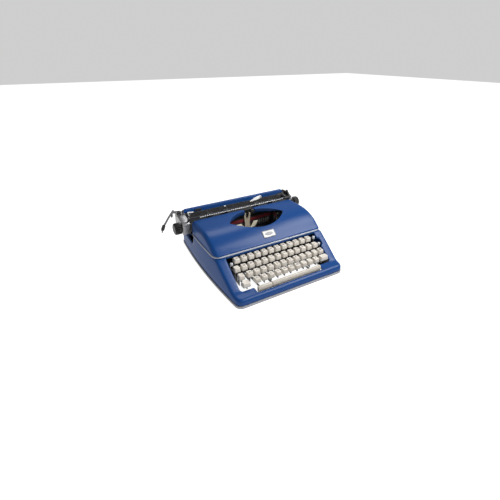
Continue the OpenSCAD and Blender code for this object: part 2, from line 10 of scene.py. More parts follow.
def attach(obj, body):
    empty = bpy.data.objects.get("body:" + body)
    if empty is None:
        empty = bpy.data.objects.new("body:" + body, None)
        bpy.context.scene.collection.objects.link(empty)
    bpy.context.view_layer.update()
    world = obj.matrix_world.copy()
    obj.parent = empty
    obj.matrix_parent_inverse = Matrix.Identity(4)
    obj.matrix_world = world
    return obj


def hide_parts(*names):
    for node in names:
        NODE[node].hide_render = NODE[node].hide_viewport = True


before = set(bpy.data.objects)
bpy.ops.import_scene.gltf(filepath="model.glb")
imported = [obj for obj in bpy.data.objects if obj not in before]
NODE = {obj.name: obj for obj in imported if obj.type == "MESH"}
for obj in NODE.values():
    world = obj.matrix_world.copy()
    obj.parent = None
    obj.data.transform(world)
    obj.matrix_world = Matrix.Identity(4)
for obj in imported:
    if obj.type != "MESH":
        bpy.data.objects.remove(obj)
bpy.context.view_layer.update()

scene = bpy.context.scene

# Lengths below are in millimetres, in the part's own frame; put() turns them into metres.

# ---------------------------------------------------------------- camera and stage
az, el = math.radians(-29.463), math.radians(31.056)
back = Vector((math.sin(az) * math.cos(el), -math.cos(az) * math.cos(el), math.sin(el)))
cam = bpy.data.objects.new("camera", bpy.data.cameras.new("camera"))
scene.collection.objects.link(cam)
cam.location = (-0.3960, -0.6668, 0.4821)
cam.rotation_mode = "QUATERNION"
cam.rotation_quaternion = (-back).to_track_quat("-Z", "Y")
cam.data.sensor_width = 36
cam.data.lens = 23.59
cam.data.clip_start, cam.data.clip_end = 0.01, 60
scene.camera = cam


# ---------------------------------------------------------------- materials
def tree(name):
    m = bpy.data.materials.new(name)
    m.use_nodes = True
    nt = m.node_tree
    nt.nodes.clear()
    out = nt.nodes.new("ShaderNodeOutputMaterial")
    b = nt.nodes.new("ShaderNodeBsdfPrincipled")
    nt.links.new(b.outputs[0], out.inputs[0])
    co = nt.nodes.new("ShaderNodeTexCoord").outputs["Object"]
    return m, nt, b, co


def noise(nt, co, scale, detail=3.0, rough=0.55, stretch=None):
    if stretch:
        mp = nt.nodes.new("ShaderNodeMapping")
        mp.inputs["Scale"].default_value = stretch
        nt.links.new(co, mp.inputs["Vector"])
        co = mp.outputs[0]
    n = nt.nodes.new("ShaderNodeTexNoise")
    n.inputs["Scale"].default_value = scale
    n.inputs["Detail"].default_value = detail
    n.inputs["Roughness"].default_value = rough
    nt.links.new(co, n.inputs["Vector"])
    return n.outputs[0]


def remap(nt, value, a, b, c, d):
    n = nt.nodes.new("ShaderNodeMapRange")
    for k, v in (("From Min", a), ("From Max", b), ("To Min", c), ("To Max", d)):
        n.inputs[k].default_value = v
    nt.links.new(value, n.inputs["Value"])
    return n.outputs[0]


def mix(nt, fac, a, b):
    n = nt.nodes.new("ShaderNodeMix")
    n.data_type = "RGBA"
    nt.links.new(fac, n.inputs[0])
    for i, v in ((6, a), (7, b)):
        if isinstance(v, (tuple, list)):
            n.inputs[i].default_value = (*v[:3], 1)
        else:
            nt.links.new(v, n.inputs[i])
    return n.outputs[2]


def mul(nt, a, b, op="MULTIPLY"):
    n = nt.nodes.new("ShaderNodeMath")
    n.operation = op
    for i, v in enumerate((a, b)):
        if isinstance(v, (int, float)):
            n.inputs[i].default_value = v
        else:
            nt.links.new(v, n.inputs[i])
    return n.outputs[0]


def bump(nt, b, height, strength, distance):
    n = nt.nodes.new("ShaderNodeBump")
    n.inputs["Strength"].default_value = strength
    n.inputs["Distance"].default_value = distance
    nt.links.new(height, n.inputs["Height"])
    nt.links.new(n.outputs[0], b.inputs["Normal"])


def srgb(r, g, b):
    return tuple((c / 255 / 12.92) if c / 255 <= 0.04045 else ((c / 255 + 0.055) / 1.055) ** 2.4 for c in (r, g, b))


def shade(c, k):
    return tuple(min(1.0, max(0.0, x * k)) for x in c)


def finish(name, base, rough, metallic=0.0, tint=0.08, tint_scale=16, rough_var=0.06, rough_scale=140,
           grain=0.00008, grain_scale=1300, grain_strength=0.25, wear=None, wear_at=(0.53, 0.60), wear_amount=0.6,
           coat=0.0, coat_rough=0.1, stretch=None, spec=0.5, dust=0.0):
    """A procedural finish: tint that drifts, uneven roughness, fine grain, and worn edges."""
    m, nt, b, co = tree(name)
    col = mix(nt, noise(nt, co, tint_scale, 4), shade(base, 1 - tint), shade(base, 1 + tint))
    if dust:
        d = remap(nt, noise(nt, co, 55, 6, 0.7), 0.52, 0.75, 0.0, dust)
        col = mix(nt, d, col, (0.42, 0.41, 0.39))
    r = remap(nt, noise(nt, co, rough_scale, 4, 0.6, stretch), 0.3, 0.7, rough - rough_var, rough + rough_var)
    if wear:
        g = nt.nodes.new("ShaderNodeNewGeometry").outputs["Pointiness"]
        w = mul(nt, remap(nt, g, wear_at[0], wear_at[1], 0.0, 1.0),
                remap(nt, noise(nt, co, 260, 5, 0.7), 0.35, 0.65, 0.15, 1.0))
        w = mul(nt, w, wear_amount)
        col = mix(nt, w, col, wear)
        r = mul(nt, r, mul(nt, w, 0.12), "ADD")
    nt.links.new(col, b.inputs["Base Color"])
    nt.links.new(r, b.inputs["Roughness"])
    b.inputs["Metallic"].default_value = metallic
    b.inputs["Specular IOR Level"].default_value = spec
    b.inputs["Coat Weight"].default_value = coat
    b.inputs["Coat Roughness"].default_value = coat_rough
    bump(nt, b, noise(nt, co, grain_scale, 2, 0.5, stretch), grain_strength, grain)
    if coat > 0.1:
        nt.links.new(b.inputs["Normal"].links[0].from_socket, b.inputs["Coat Normal"])
    return m


BLUE = srgb(19, 60, 116)
M = {
    "paint": finish("blue_stove_enamel", BLUE, 0.30, tint=0.04, tint_scale=9, rough_var=0.03, rough_scale=90,
                    grain=0.00010, grain_scale=700, grain_strength=0.02, wear=srgb(96, 128, 188), wear_at=(0.56, 0.68),
                    wear_amount=0.2, coat=0.36, coat_rough=0.29, spec=0.004),
    # painted shade: a darker copy of the blue for the inside of the hood
    "paint_in_shade": finish("blue_enamel_inside_painted_shade", shade(BLUE, 0.55), 0.5, tint=0.1, grain_strength=0.3),
    # painted shade: a darker copy of the blue for the slope behind the window
    "paint_shaded_slope": finish("blue_enamel_painted_shade_slope", shade(BLUE, 0.5), 0.42, tint=0.06, rough_var=0.05, grain_strength=0.05, spec=0.2),
    "rim": finish("grey_base_moulding", srgb(131, 132, 139), 0.42, tint=0.04, rough_var=0.08, grain=0.00015,
                  grain_scale=900, grain_strength=0.35, wear=srgb(225, 225, 230), wear_amount=0.4),
    "trim": finish("satin_bright_trim", srgb(150, 155, 165), 0.45, metallic=0.3, tint=0.04, rough_var=0.06,
                   rough_scale=160, grain_scale=1500, grain=0.00004, grain_strength=0.1),
    "chrome": finish("plated_steel", srgb(196, 197, 201), 0.26, metallic=1.0, tint=0.05, rough_var=0.09,
                     stretch=(1, 30, 30), rough_scale=30, grain_scale=70, grain=0.00004, grain_strength=0.2),
    "steel": finish("zinc_plated_steel", srgb(168, 170, 174), 0.38, metallic=0.95, tint=0.08, rough_var=0.1,
                    stretch=(1, 25, 25), rough_scale=40, grain_scale=80, grain=0.00005, grain_strength=0.3, dust=0.15),
    "dark": finish("blackened_steel", srgb(52, 52, 55), 0.42, metallic=0.75, tint=0.15, rough_var=0.12,
                   grain=0.00006, grain_scale=1500, wear=srgb(150, 150, 152), wear_amount=0.55),
    "key": finish("cream_keycap_plastic", srgb(199, 193, 184), 0.38, tint=0.035, tint_scale=42, rough_var=0.09,
                  rough_scale=240, grain=0.00006, grain_scale=2600, grain_strength=0.2, wear=srgb(244, 239, 230),
                  wear_amount=0.35),
    "bar": finish("cream_bar_plastic", srgb(168, 162, 152), 0.38, tint=0.04, tint_scale=30, rough_var=0.08,
                  rough_scale=240, grain=0.00006, grain_scale=2400, grain_strength=0.2, wear=srgb(235, 228, 216),
                  wear_amount=0.3),
    "button": finish("white_button_plastic", srgb(186, 188, 193), 0.26, tint=0.03, rough_var=0.06, grain=0.00005,
                     grain_scale=2600, grain_strength=0.15),
    "ink": finish("legend_ink", srgb(30, 29, 30), 0.6, tint=0.2, tint_scale=300, rough_var=0.1, grain_strength=0.1),
    "black": finish("black_moulding", srgb(18, 18, 20), 0.34, tint=0.12, rough_var=0.1, rough_scale=200,
                    grain=0.00008, grain_scale=1700, grain_strength=0.25, wear=srgb(70, 70, 72), wear_amount=0.4, spec=0.28),
    "rubber": finish("platen_rubber", srgb(30, 30, 30), 0.62, tint=0.15, rough_var=0.08, stretch=(1, 1, 1),
                     grain=0.0001, grain_scale=2200, grain_strength=0.4, dust=0.12, spec=0.4),
    "silver": finish("silver_end_cover", srgb(142, 142, 144), 0.36, metallic=0.7, tint=0.05, rough_var=0.07,
                     rough_scale=180, grain=0.00007, grain_scale=1900, grain_strength=0.3, wear=srgb(225, 225, 226),
                     wear_amount=0.4),
    "works": finish("phosphated_steel", srgb(128, 126, 122), 0.5, metallic=0.15, tint=0.2, tint_scale=120, rough_var=0.1,
                    grain=0.00006, grain_scale=1500, wear=srgb(190, 188, 182), wear_amount=0.5, dust=0.1),
    "beige": finish("guide_plastic", srgb(170, 160, 140), 0.5, tint=0.08, rough_var=0.08, grain=0.00008,
                    grain_scale=1500, wear=srgb(205, 196, 176), wear_amount=0.5, dust=0.1),
    "cream": finish("bracket_plastic", srgb(246, 238, 214), 0.45, tint=0.05, rough_var=0.08, grain=0.00006,
                    grain_scale=1600),
    "badge": finish("blank_badge_face", srgb(176, 176, 174), 0.4, metallic=0.1, tint=0.04, tint_scale=60,
                    rough_var=0.08, stretch=(1, 20, 20), rough_scale=60, grain_scale=120, grain=0.00004),
    "badge_rim": finish("badge_border", srgb(104, 104, 106), 0.4, metallic=0.4, tint=0.08, rough_var=0.08,
                        grain=0.00004, grain_scale=900),
    "white": finish("white_paper_arm", srgb(252, 252, 250), 0.5, tint=0.02, rough_var=0.08, grain=0.00005,
                    grain_scale=1500, wear=srgb(250, 250, 250), wear_amount=0.3),
    "brass": finish("brass", srgb(186, 152, 84), 0.34, metallic=1.0, tint=0.1, rough_var=0.1, grain=0.00004),
    "type": finish("typebar_steel", srgb(44, 44, 47), 0.5, metallic=0.6, tint=0.2, rough_var=0.1, grain=0.00005,
                   grain_scale=1500, wear=srgb(110, 110, 112), wear_at=(0.56, 0.7), wear_amount=0.4),
    "lever": finish("return_lever_steel", srgb(122, 123, 127), 0.34, metallic=0.9, tint=0.07, rough_var=0.08,
                    stretch=(1, 30, 30), rough_scale=40, grain_scale=90, grain=0.00004, grain_strength=0.2),
    "scale": finish("scale_face", srgb(228, 228, 226), 0.42, metallic=0.1, tint=0.04, tint_scale=60, rough_var=0.07, grain=0.00004,
                    grain_scale=1400, grain_strength=0.15),
    # painted shade: near-black finish for the band under the housing
    "gap": finish("painted_shade_gap_band", srgb(30, 30, 33), 0.7, tint=0.15, rough_var=0.08, grain_strength=0.2, spec=0.3),
    "foot": finish("foot_rubber", srgb(22, 22, 22), 0.75, tint=0.2, rough_var=0.08, grain=0.00015, grain_scale=900,
                   grain_strength=0.5, spec=0.35),
}


def cloth(name, dark, light):
    """Inked cloth tape with a plain weave."""
    m, nt, b, co = tree(name)
    nt.links.new(mix(nt, noise(nt, co, 60, 5), dark, light), b.inputs["Base Color"])
    nt.links.new(remap(nt, noise(nt, co, 300, 3), 0.3, 0.7, 0.72, 0.88), b.inputs["Roughness"])
    b.inputs["Sheen Weight"].default_value = 0.15
    waves = []
    for axis in ("X", "Z"):
        w = nt.nodes.new("ShaderNodeTexWave")
        w.bands_direction = axis
        w.inputs["Scale"].default_value = 260.0
        w.inputs["Distortion"].default_value = 0.4
        nt.links.new(co, w.inputs["Vector"])
        waves.append(w.outputs[1])
    bump(nt, b, mul(nt, waves[0], waves[1], "ADD"), 0.35, 0.00012)
    return m


M["ribbon_red"] = cloth("ribbon_red_cloth", srgb(92, 10, 22), srgb(136, 26, 38))
M["ribbon_black"] = cloth("ribbon_black_cloth", srgb(18, 15, 17), srgb(36, 28, 30))


# ---------------------------------------------------------------- mesh helpers
def bm_of(verts, faces):
    bm = bmesh.new()
    vs = [bm.verts.new(v) for v in verts]
    for f in faces:
        g = []
        for i in f:
            if vs[i] not in g:
                g.append(vs[i])
        if len(g) > 2:
            try:
                bm.faces.new(g)
            except ValueError:
                pass
    return bm


def merged(*bms):
    out = bmesh.new()
    for b in bms:
        me = bpy.data.meshes.new("tmp")
        b.to_mesh(me)
        b.free()
        out.from_mesh(me)
        bpy.data.meshes.remove(me)
    return out


def put(bm, name, body, mats, replaces=(), angle=32, ref=None, merge=2e-3, clean=True):
    """Makes the piece. ref is a point inside an open shell, which its faces look away from."""
    if clean:
        bmesh.ops.remove_doubles(bm, verts=bm.verts, dist=merge)
        bmesh.ops.dissolve_degenerate(bm, edges=bm.edges, dist=1e-4)
        bmesh.ops.recalc_face_normals(bm, faces=bm.faces)
    bm.normal_update()
    if ref is not None:
        r = Vector(ref)
        if sum(f.normal.dot(f.calc_center_median() - r) * f.calc_area() for f in bm.faces) < 0:
            bmesh.ops.reverse_faces(bm, faces=bm.faces)
    bmesh.ops.transform(bm, matrix=Matrix.Scale(0.001, 4), verts=bm.verts)
    me = bpy.data.meshes.new(name)
    bm.to_mesh(me)
    bm.free()
    for m in mats if isinstance(mats, (list, tuple)) else [mats]:
        me.materials.append(m)
    me.shade_smooth()
    me.set_sharp_from_angle(angle=math.radians(angle))
    ob = bpy.data.objects.new(name, me)
    scene.collection.objects.link(ob)
    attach(ob, body)
    if replaces:
        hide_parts(*([replaces] if isinstance(replaces, str) else replaces))
    return ob


def thicken(ob, t, offset=-1.0, inside=0):
    s = ob.modifiers.new("wall", "SOLIDIFY")
    s.thickness = t / 1000
    s.offset = offset
    s.use_even_offset = True
    s.use_quality_normals = True
    s.material_offset = inside
    return ob


def bevel(bm, w, seg=3, ang=30):
    bm.normal_update()
    es = [e for e in bm.edges if len(e.link_faces) == 2 and e.calc_face_angle(0.0) > math.radians(ang)]
    bmesh.ops.bevel(bm, geom=es, offset=w, offset_type="OFFSET", segments=seg, profile=0.5, affect="EDGES",
                    clamp_overlap=True)
    return bm


def prism(outline, a, b, place):
    """A closed outline swept from a to b; place(u, v, t) gives the point."""
    n = len(outline)
    vs = [place(u, v, a) for u, v in outline] + [place(u, v, b) for u, v in outline]
    fs = [tuple(range(n))[::-1], tuple(range(n, 2 * n))]
    fs += [(i, (i + 1) % n, n + (i + 1) % n, n + i) for i in range(n)]
    bm = bm_of(vs, fs)
    bmesh.ops.recalc_face_normals(bm, faces=bm.faces)
    return bm


def in_yz(u, v, t):
    return (t, u, v)


def in_xy(u, v, t):
    return (u, v, t)


def in_xz(u, v, t):
    return (u, t, v)


def block(lo, hi, w=0.0, seg=2):
    bm = prism([(lo[0], lo[1]), (hi[0], lo[1]), (hi[0], hi[1]), (lo[0], hi[1])], lo[2], hi[2], in_xy)
    return bevel(bm, w, seg) if w else bm


def moved(bm, matrix):
    bmesh.ops.transform(bm, matrix=matrix, verts=bm.verts)
    return bm


def lathe(profile, centre, axis="X", n=48, flutes=None):
    """profile is [(along, radius)]. flutes is (count, depth) for a fluted rim."""
    vs, fs = [], []
    for a, r in profile:
        for k in range(n):
            t = 2 * math.pi * k / n
            rr = r
            if flutes and r > flutes[2]:
                rr = r - flutes[1] * (0.5 + 0.5 * math.cos(flutes[0] * t)) ** 2
            c, s = rr * math.cos(t), rr * math.sin(t)
            vs.append({"X": (a, centre[0] + c, centre[1] + s), "Y": (centre[0] + c, a, centre[1] + s),
                       "Z": (centre[0] + c, centre[1] + s, a)}[axis])
    m = len(profile)
    for i in range(m - 1):
        for k in range(n):
            fs.append((i * n + k, i * n + (k + 1) % n, (i + 1) * n + (k + 1) % n, (i + 1) * n + k))
    fs.append(tuple(range(n))[::-1])
    fs.append(tuple(range((m - 1) * n, m * n)))
    bm = bm_of(vs, fs)
    bmesh.ops.recalc_face_normals(bm, faces=bm.faces)
    return bm


def sweep(path, section, closed=False):
    """path is [(point, side, up)], section is a closed list of (side, up) offsets."""
    m, n = len(section), len(path)
    vs, fs = [], []
    for p, s, u in path:
        for a, b in section:
            vs.append(tuple(Vector(p) + Vector(s) * a + Vector(u) * b))
    for i in range(n if closed else n - 1):
        j = (i + 1) % n
        for k in range(m):
            l = (k + 1) % m
            fs.append((i * m + k, i * m + l, j * m + l, j * m + k))
    if not closed:
        fs.append(tuple(range(m))[::-1])
        fs.append(tuple(range((n - 1) * m, n * m)))
    bm = bm_of(vs, fs)
    bmesh.ops.recalc_face_normals(bm, faces=bm.faces)
    return bm


def arc(cx, cy, r, a0, a1, n):
    return [(cx + r * math.cos(math.radians(a0 + (a1 - a0) * i / n)), cy + r * math.sin(math.radians(a0 + (a1 - a0) * i / n)))
            for i in range(n + 1)]


def rrect(w, d, r, n=6, cx=0.0, cy=0.0):
    r = min(r, w / 2 - 1e-3, d / 2 - 1e-3)
    out = []
    for sx, sy, a in ((1, 1, 0), (-1, 1, 90), (-1, -1, 180), (1, -1, 270)):
        out += arc(cx + sx * (w / 2 - r), cy + sy * (d / 2 - r), r, a, a + 90, n)
    return out


def fillet(poly, radii, n=5):
    """Rounds the corners of a polygon, outward or inward ones."""
    out = []
    k = len(poly)
    for i in range(k):
        p, a, b = (Vector(poly[i]), Vector(poly[i - 1]), Vector(poly[(i + 1) % k]))
        u, v = (a - p).normalized(), (b - p).normalized()
        half = math.acos(max(-1, min(1, u.dot(v)))) / 2
        r = radii[i]
        t = r / math.tan(half)
        c = p + (u + v).normalized() * (r / math.sin(half))
        s, e = p + u * t - c, p + v * t - c
        a0, a1 = math.atan2(s.y, s.x), math.atan2(e.y, e.x)
        while a1 - a0 > math.pi:
            a1 -= 2 * math.pi
        while a1 - a0 < -math.pi:
            a1 += 2 * math.pi
        out += [(c.x + r * math.cos(a0 + (a1 - a0) * j / n), c.y + r * math.sin(a0 + (a1 - a0) * j / n)) for j in range(n + 1)]
    return out


def offset_loop(loop, d):
    """Moves a closed loop sideways; d above 0 is to the right of its run."""
    out, k = [], len(loop)
    for i in range(k):
        a, b = Vector(loop[i - 1]), Vector(loop[(i + 1) % k])
        t = (b - a).normalized()
        out.append((loop[i][0] + t.y * d, loop[i][1] - t.x * d))
    return out


def inside(p, loop):
    x, y, hit = p[0], p[1], False
    j = len(loop) - 1
    for i in range(len(loop)):
        xi, yi, xj, yj = loop[i][0], loop[i][1], loop[j][0], loop[j][1]
        if (yi > y) != (yj > y) and x < (xj - xi) * (y - yi) / (yj - yi) + xi:
            hit = not hit
        j = i
    return hit


def plan_sheet(outer, holes, height, step):
    """Triangles that cover outer without its holes, lifted to height(x, y)."""
    pts, edges = [], []
    for loop in [outer, *holes]:
        o = len(pts)
        pts += [Vector(p[:2]) for p in loop]
        edges += [(o + i, o + (i + 1) % len(loop)) for i in range(len(loop))]
    xs, ys = [p.x for p in pts], [p.y for p in pts]
    rim = [Vector(p[:2]) for loop in [outer, *holes] for p in loop]
    y = min(ys) + step
    row = 0
    while y < max(ys) - step * 0.4:
        x = min(xs) + step * (0.5 if row % 2 else 1.0)
        while x < max(xs) - step * 0.4:
            q = (x, y)
            if inside(q, outer) and not any(inside(q, h) for h in holes):
                if min((r - Vector(q)).length_squared for r in rim) > (0.55 * step) ** 2:
                    pts.append(Vector(q))
            x += step
        y += step * 0.87
        row += 1
    v, _, f, *_ = delaunay_2d_cdt(pts, edges, [], 0, 1e-5)
    keep = []
    for t in f:
        c = (v[t[0]] + v[t[1]] + v[t[2]]) / 3
        if inside(c, outer) and not any(inside(c, h) for h in holes):
            keep.append(tuple(t))
    return bm_of([(p.x, p.y, height(p.x, p.y)) for p in v], keep)


def catmull(p, n):
    q = [p[0], *p, p[-1]]
    out = []
    for i in range(1, len(q) - 2):
        a, b, c, d = (np.array(v, float) for v in q[i - 1:i + 3])
        for k in range(n):
            t = k / n
            out.append(0.5 * (2 * b + (c - a) * t + (2 * a - 5 * b + 4 * c - d) * t * t + (3 * b - a - 3 * c + d) * t ** 3))
    out.append(np.array(p[-1], float))
    return np.array(out)


def closed_spline(p, n):
    k = len(p)
    out = []
    for i in range(k):
        a, b, c, d = (np.array(p[(i + j) % k], float) for j in (-1, 0, 1, 2))
        for s in range(n):
            t = s / n
            out.append(tuple(0.5 * (2 * b + (c - a) * t + (2 * a - 5 * b + 4 * c - d) * t * t + (3 * b - a - 3 * c + d) * t ** 3)))
    return out


_font_cache = {}


def glyph(text, size, bold=0.0):
    """(vertices, faces) of a short text, flat, centred on the origin, in millimetres."""
    if (text, size) not in _font_cache:
        cu = bpy.data.curves.new("glyph", "FONT")
        cu.body = text
        cu.size = size
        cu.offset = bold
        cu.align_x = "CENTER"
        cu.align_y = "CENTER"
        cu.resolution_u = 3
        ob = bpy.data.objects.new("glyph", cu)
        scene.collection.objects.link(ob)
        bpy.context.view_layer.update()
        me = bpy.data.meshes.new_from_object(ob.evaluated_get(bpy.context.evaluated_depsgraph_get()))
        vs = [tuple(v.co) for v in me.vertices]
        fs = [tuple(p.vertices) for p in me.polygons]
        bpy.data.objects.remove(ob)
        bpy.data.curves.remove(cu)
        bpy.data.meshes.remove(me)
        if vs:
            cx = (min(v[0] for v in vs) + max(v[0] for v in vs)) / 2
            cy = (min(v[1] for v in vs) + max(v[1] for v in vs)) / 2
            vs = [(v[0] - cx, v[1] - cy, 0.0) for v in vs]
        _font_cache[(text, size)] = (vs, fs)
    return _font_cache[(text, size)]


def cad_finish(node, mat, w=0.35, seg=2):
    """A CAD node keeps its shape; it gets a finish and a hair of edge break."""
    o = NODE[node]
    o.data.materials.clear()
    o.data.materials.append(mat)
    if w:
        a = o.modifiers.new("weld", "WELD")
        a.merge_threshold = 1e-6
        b = o.modifiers.new("edge_break", "BEVEL")
        b.width = w / 1000
        b.segments = seg
        b.limit_method = "ANGLE"
        b.angle_limit = math.radians(40)
        c = o.modifiers.new("normals", "WEIGHTED_NORMAL")
        c.keep_sharp = True
    return o


# ---------------------------------------------------------------- base rim, feet, housing
SIDE, BOW, LEAN, FRONT, REAR, STEP = 161.0, 1605.0, math.tan(math.radians(2.2)), 183.0, 175.5, 1.2


def bowed(y):
    """How far the bowed side has come in at depth y."""
    return BOW - math.sqrt(BOW * BOW - y * y)


def bowed_ring(side, yf, yr, rc, extra=(), sides=86, across=28, turn=12):
    """The plan as (x, y, outward x, outward y): left side front-wards, front, right side, rear."""
    xf = math.sqrt((BOW - rc) ** 2 - (yf - rc) ** 2) - BOW + side
    xr = math.sqrt((BOW - rc) ** 2 - (yr - rc) ** 2) - BOW + side
    af, ar = (math.degrees(math.asin((v - rc) / (BOW - rc))) for v in (yf, yr))
    y0, y1 = -BOW * math.sin(math.radians(af)), BOW * math.sin(math.radians(ar))
    ys = sorted(set([round(float(v), 3) for v in np.linspace(y0, y1, sides)] + [float(v) for v in extra]))
    flank = [(side - bowed(y), y, math.sqrt(1 - (y / BOW) ** 2), y / BOW) for y in ys]

    def corner(cx, cy, a0, a1):
        return [(cx + rc * math.cos(a), cy + rc * math.sin(a), math.cos(a), math.sin(a)) for a in np.radians(np.linspace(a0, a1, turn)[1:-1])]

    ring = [(-x, y, -nx, ny) for x, y, nx, ny in flank[::-1]]
    ring += corner(-xf, rc - yf, 180 + af, 270)
    ring += [(x, -yf, 0.0, -1.0) for x in np.linspace(-xf, xf, across)]
    ring += corner(xf, rc - yf, 270, 360 - af)
    ring += flank
    ring += corner(xr, yr - rc, ar, 90)
    ring += [(x, yr, 0.0, 1.0) for x in np.linspace(xr, -xr, across)]
    ring += corner(-xr, yr - rc, 90, 180 - ar)
    return ring


rim_section = [(-18, 0.5), (-1.6, 0.5), (-0.6, 0.8), (0, 1.7), (0, 5.7), (-0.25, 6.5), (-0.9, 7.0), (-2.4, 7.1), (-2.4, 8.4), (-4, 8.4), (-4, 6.0), (-18, 6.0)]
rim_path = [(Vector((x, y, 0)), Vector((nx, ny, 0)), Vector((0, 0, 1))) for x, y, nx, ny in bowed_ring(SIDE, FRONT, REAR + STEP, 17, sides=40)]
rim_bm = sweep(rim_path, rim_section, True)
for f in rim_bm.faces:  # painted shade: the shadow gap under the housing is given a near-black finish
    if min(v.co.z for v in f.verts) > 7.05:
        f.material_index = 1
put(rim_bm, "base_moulding", "frame", [M["rim"], M["gap"]], "base_rim")
cad_finish("rubber_feet", M["foot"], 0.5)

_ty = [-190, -169.8, -154, -80, -78, 57, 60, 65, 70, 77, 200]
_tz = [21.6, 22.6, 24.5, 73.8, 74.2, 74.2, 62, 52.5, 45.5, 44, 44]
_dy = np.arange(-190, 200, 0.25)
_dz = np.interp(_dy, _ty, _tz)
_k = np.exp(-0.5 * (np.arange(-24, 25) * 0.25 / 1.6) ** 2)
_ds = np.convolve(np.pad(_dz, 24, mode="edge"), _k / _k.sum(), mode="valid")


def deck_z(y):
    return float(np.interp(y, _dy, _ds))


def taper(x, z):
    """The lean of the sides; the middle of the deck stays where it is."""
    k = min(1.0, max(0.0, (abs(x) - 137) / 12))
    return x - math.copysign(LEAN * z * k, x)


def housing():
    ring = bowed_ring(SIDE - STEP, FRONT - STEP, REAR, 16.0, [-79.5, -77, -74, 126, *range(52, 82)])
    n = len(ring)
    levels = []
    phis = np.radians([0, 18, 36, 54, 72, 90])
    for x, y, nx, ny in ring:
        ro = float(np.interp(y, [-66, -45, 40, 60], [6.5, 2.5, 2.5, 4.0])) + 2.5 * max(0.0, -ny) ** 2
        qx, qy = x - nx * ro, y - ny * ro
        top = deck_z(qy)
        col = []
        base = 8.3
        start = top - ro
        for k in (0.0, 0.06, 0.35, 0.7):
            z = base + (start - base) * k
            inset = 1.0 if k == 0.0 else 0.0
            col.append((x - nx * inset, y - ny * inset, z))
        for p in phis:
            i = ro * (1 - math.cos(p))
            col.append((x - nx * i, y - ny * i, top - ro * (1 - math.sin(p))))
        levels.append(col)
    m = len(levels[0])
    vs = [(taper(p[0], p[2]), p[1], p[2]) for col in levels for p in col]
    fs = [(i * m + k, ((i + 1) % n) * m + k, ((i + 1) % n) * m + k + 1, i * m + k + 1) for i in range(n) for k in range(m - 1)]
    walls = bm_of(vs, fs)
    top_ring = [(col[-1][0], col[-1][1]) for col in levels]
    # the key deck, with the well, the bar notch and the bay of the right-hand button
    front = [p for p, q in zip(top_ring, ring) if q[1] <= -73.9]
    well = [(-130, -78.5), (-130, -153.6), (-95, -153.6), (-95, -170.5), (92, -170.5), (92, -153.6), (130, -153.6),
            (130, -112), (136.75, -112), (136.75, -94), (130, -94), (130, -78.5)]
    hole = fillet(well, [4, 7, 2.5, 3, 3, 2.5, 7, 2, 4.5, 4.5, 2, 4])
    fine = []
    for i, p in enumerate(hole):  # points along the long edges
        q = hole[(i + 1) % len(hole)]
        k = max(1, int(math.hypot(q[0] - p[0], q[1] - p[1]) / 5))
        fine += [(p[0] + (q[0] - p[0]) * j / k, p[1] + (q[1] - p[1]) * j / k) for j in range(k)]
    lip = offset_loop(fine, 1.6)
    if inside(lip[3], fine):
        lip = offset_loop(fine, -1.6)
        out = -1
    else:
        out = 1
    deck = plan_sheet(front, [lip], lambda x, y: deck_z(y), 6.0)
    for v in deck.verts:
        v.co.x = taper(v.co.x, v.co.z)
    rows = []
    for inset, drop in ((1.6, 0.0), (0.8, 0.22), (0.25, 0.75), (0.0, 1.6), (0.0, 5.0)):
        loop = offset_loop(fine, out * inset) if inset else fine
        rows.append([(taper(p[0], deck_z(p[1])), p[1], deck_z(p[1]) - drop) for p in loop])
    q = len(fine)
    edge = bm_of([p for row in rows for p in row],
                 [(a * q + i, a * q + (i + 1) % q, (a + 1) * q + (i + 1) % q, (a + 1) * q + i) for a in range(len(rows) - 1) for i in range(q)])
    rear = [p for p, q in zip(top_ring, ring) if q[1] >= 125.9]
    # the ring starts at the left rear, so its rear part is put in order
    rear.sort(key=lambda p: math.atan2(p[1] - 126, p[0]))
    shelf = plan_sheet(rear, [], lambda x, y: deck_z(y), 9.0)
    for v in shelf.verts:
        v.co.x = taper(v.co.x, v.co.z)
    lipz = deck_z(126)
    x0 = max(p[0] for p in rear)
    fold = bm_of([(taper(-x0, lipz), 126, lipz), (taper(x0, lipz), 126, lipz), (taper(x0, lipz), 125, lipz - 1.2),
                  (taper(-x0, lipz), 125, lipz - 1.2), (taper(x0, lipz), 125, lipz - 6), (taper(-x0, lipz), 125, lipz - 6)],
                 [(0, 1, 2, 3), (3, 2, 4, 5)])
    return merged(walls, deck, edge, shelf, fold)


thicken(put(housing(), "housing_shell", "frame", M["paint"], "lower_housing", 38, (0, 0, 10), 0.02), 2.0)


# ---------------------------------------------------------------- trim strip
def trim_piece():
    ring = bowed_ring(156.0, 76.75, 140.0, 17.4, [58.3], 40, 24)
    k = len(ring)
    start = next(i for i in range(k) if abs(ring[i][1] - 58.3) < 1e-6)
    run = [r for r in ring[start:] if r[1] <= 58.31 and not (r[2] == 0 and r[3] > 0)]
    path = [(Vector((x, y, 76.3)), Vector((nx, ny, 0)), Vector((0, 0, 1))) for x, y, nx, ny in run]
    section = [(-2.5, -1.9), (1.2, -1.9), (2.1, -1.5), (2.5, -0.8), (2.6, 0.0), (2.45, 0.8), (1.9, 1.45), (1.0, 1.85), (-2.5, 1.95)]
    return sweep(path, section)


put(trim_piece(), "trim_bead", "frame", M["trim"], "trim_strip", 40)

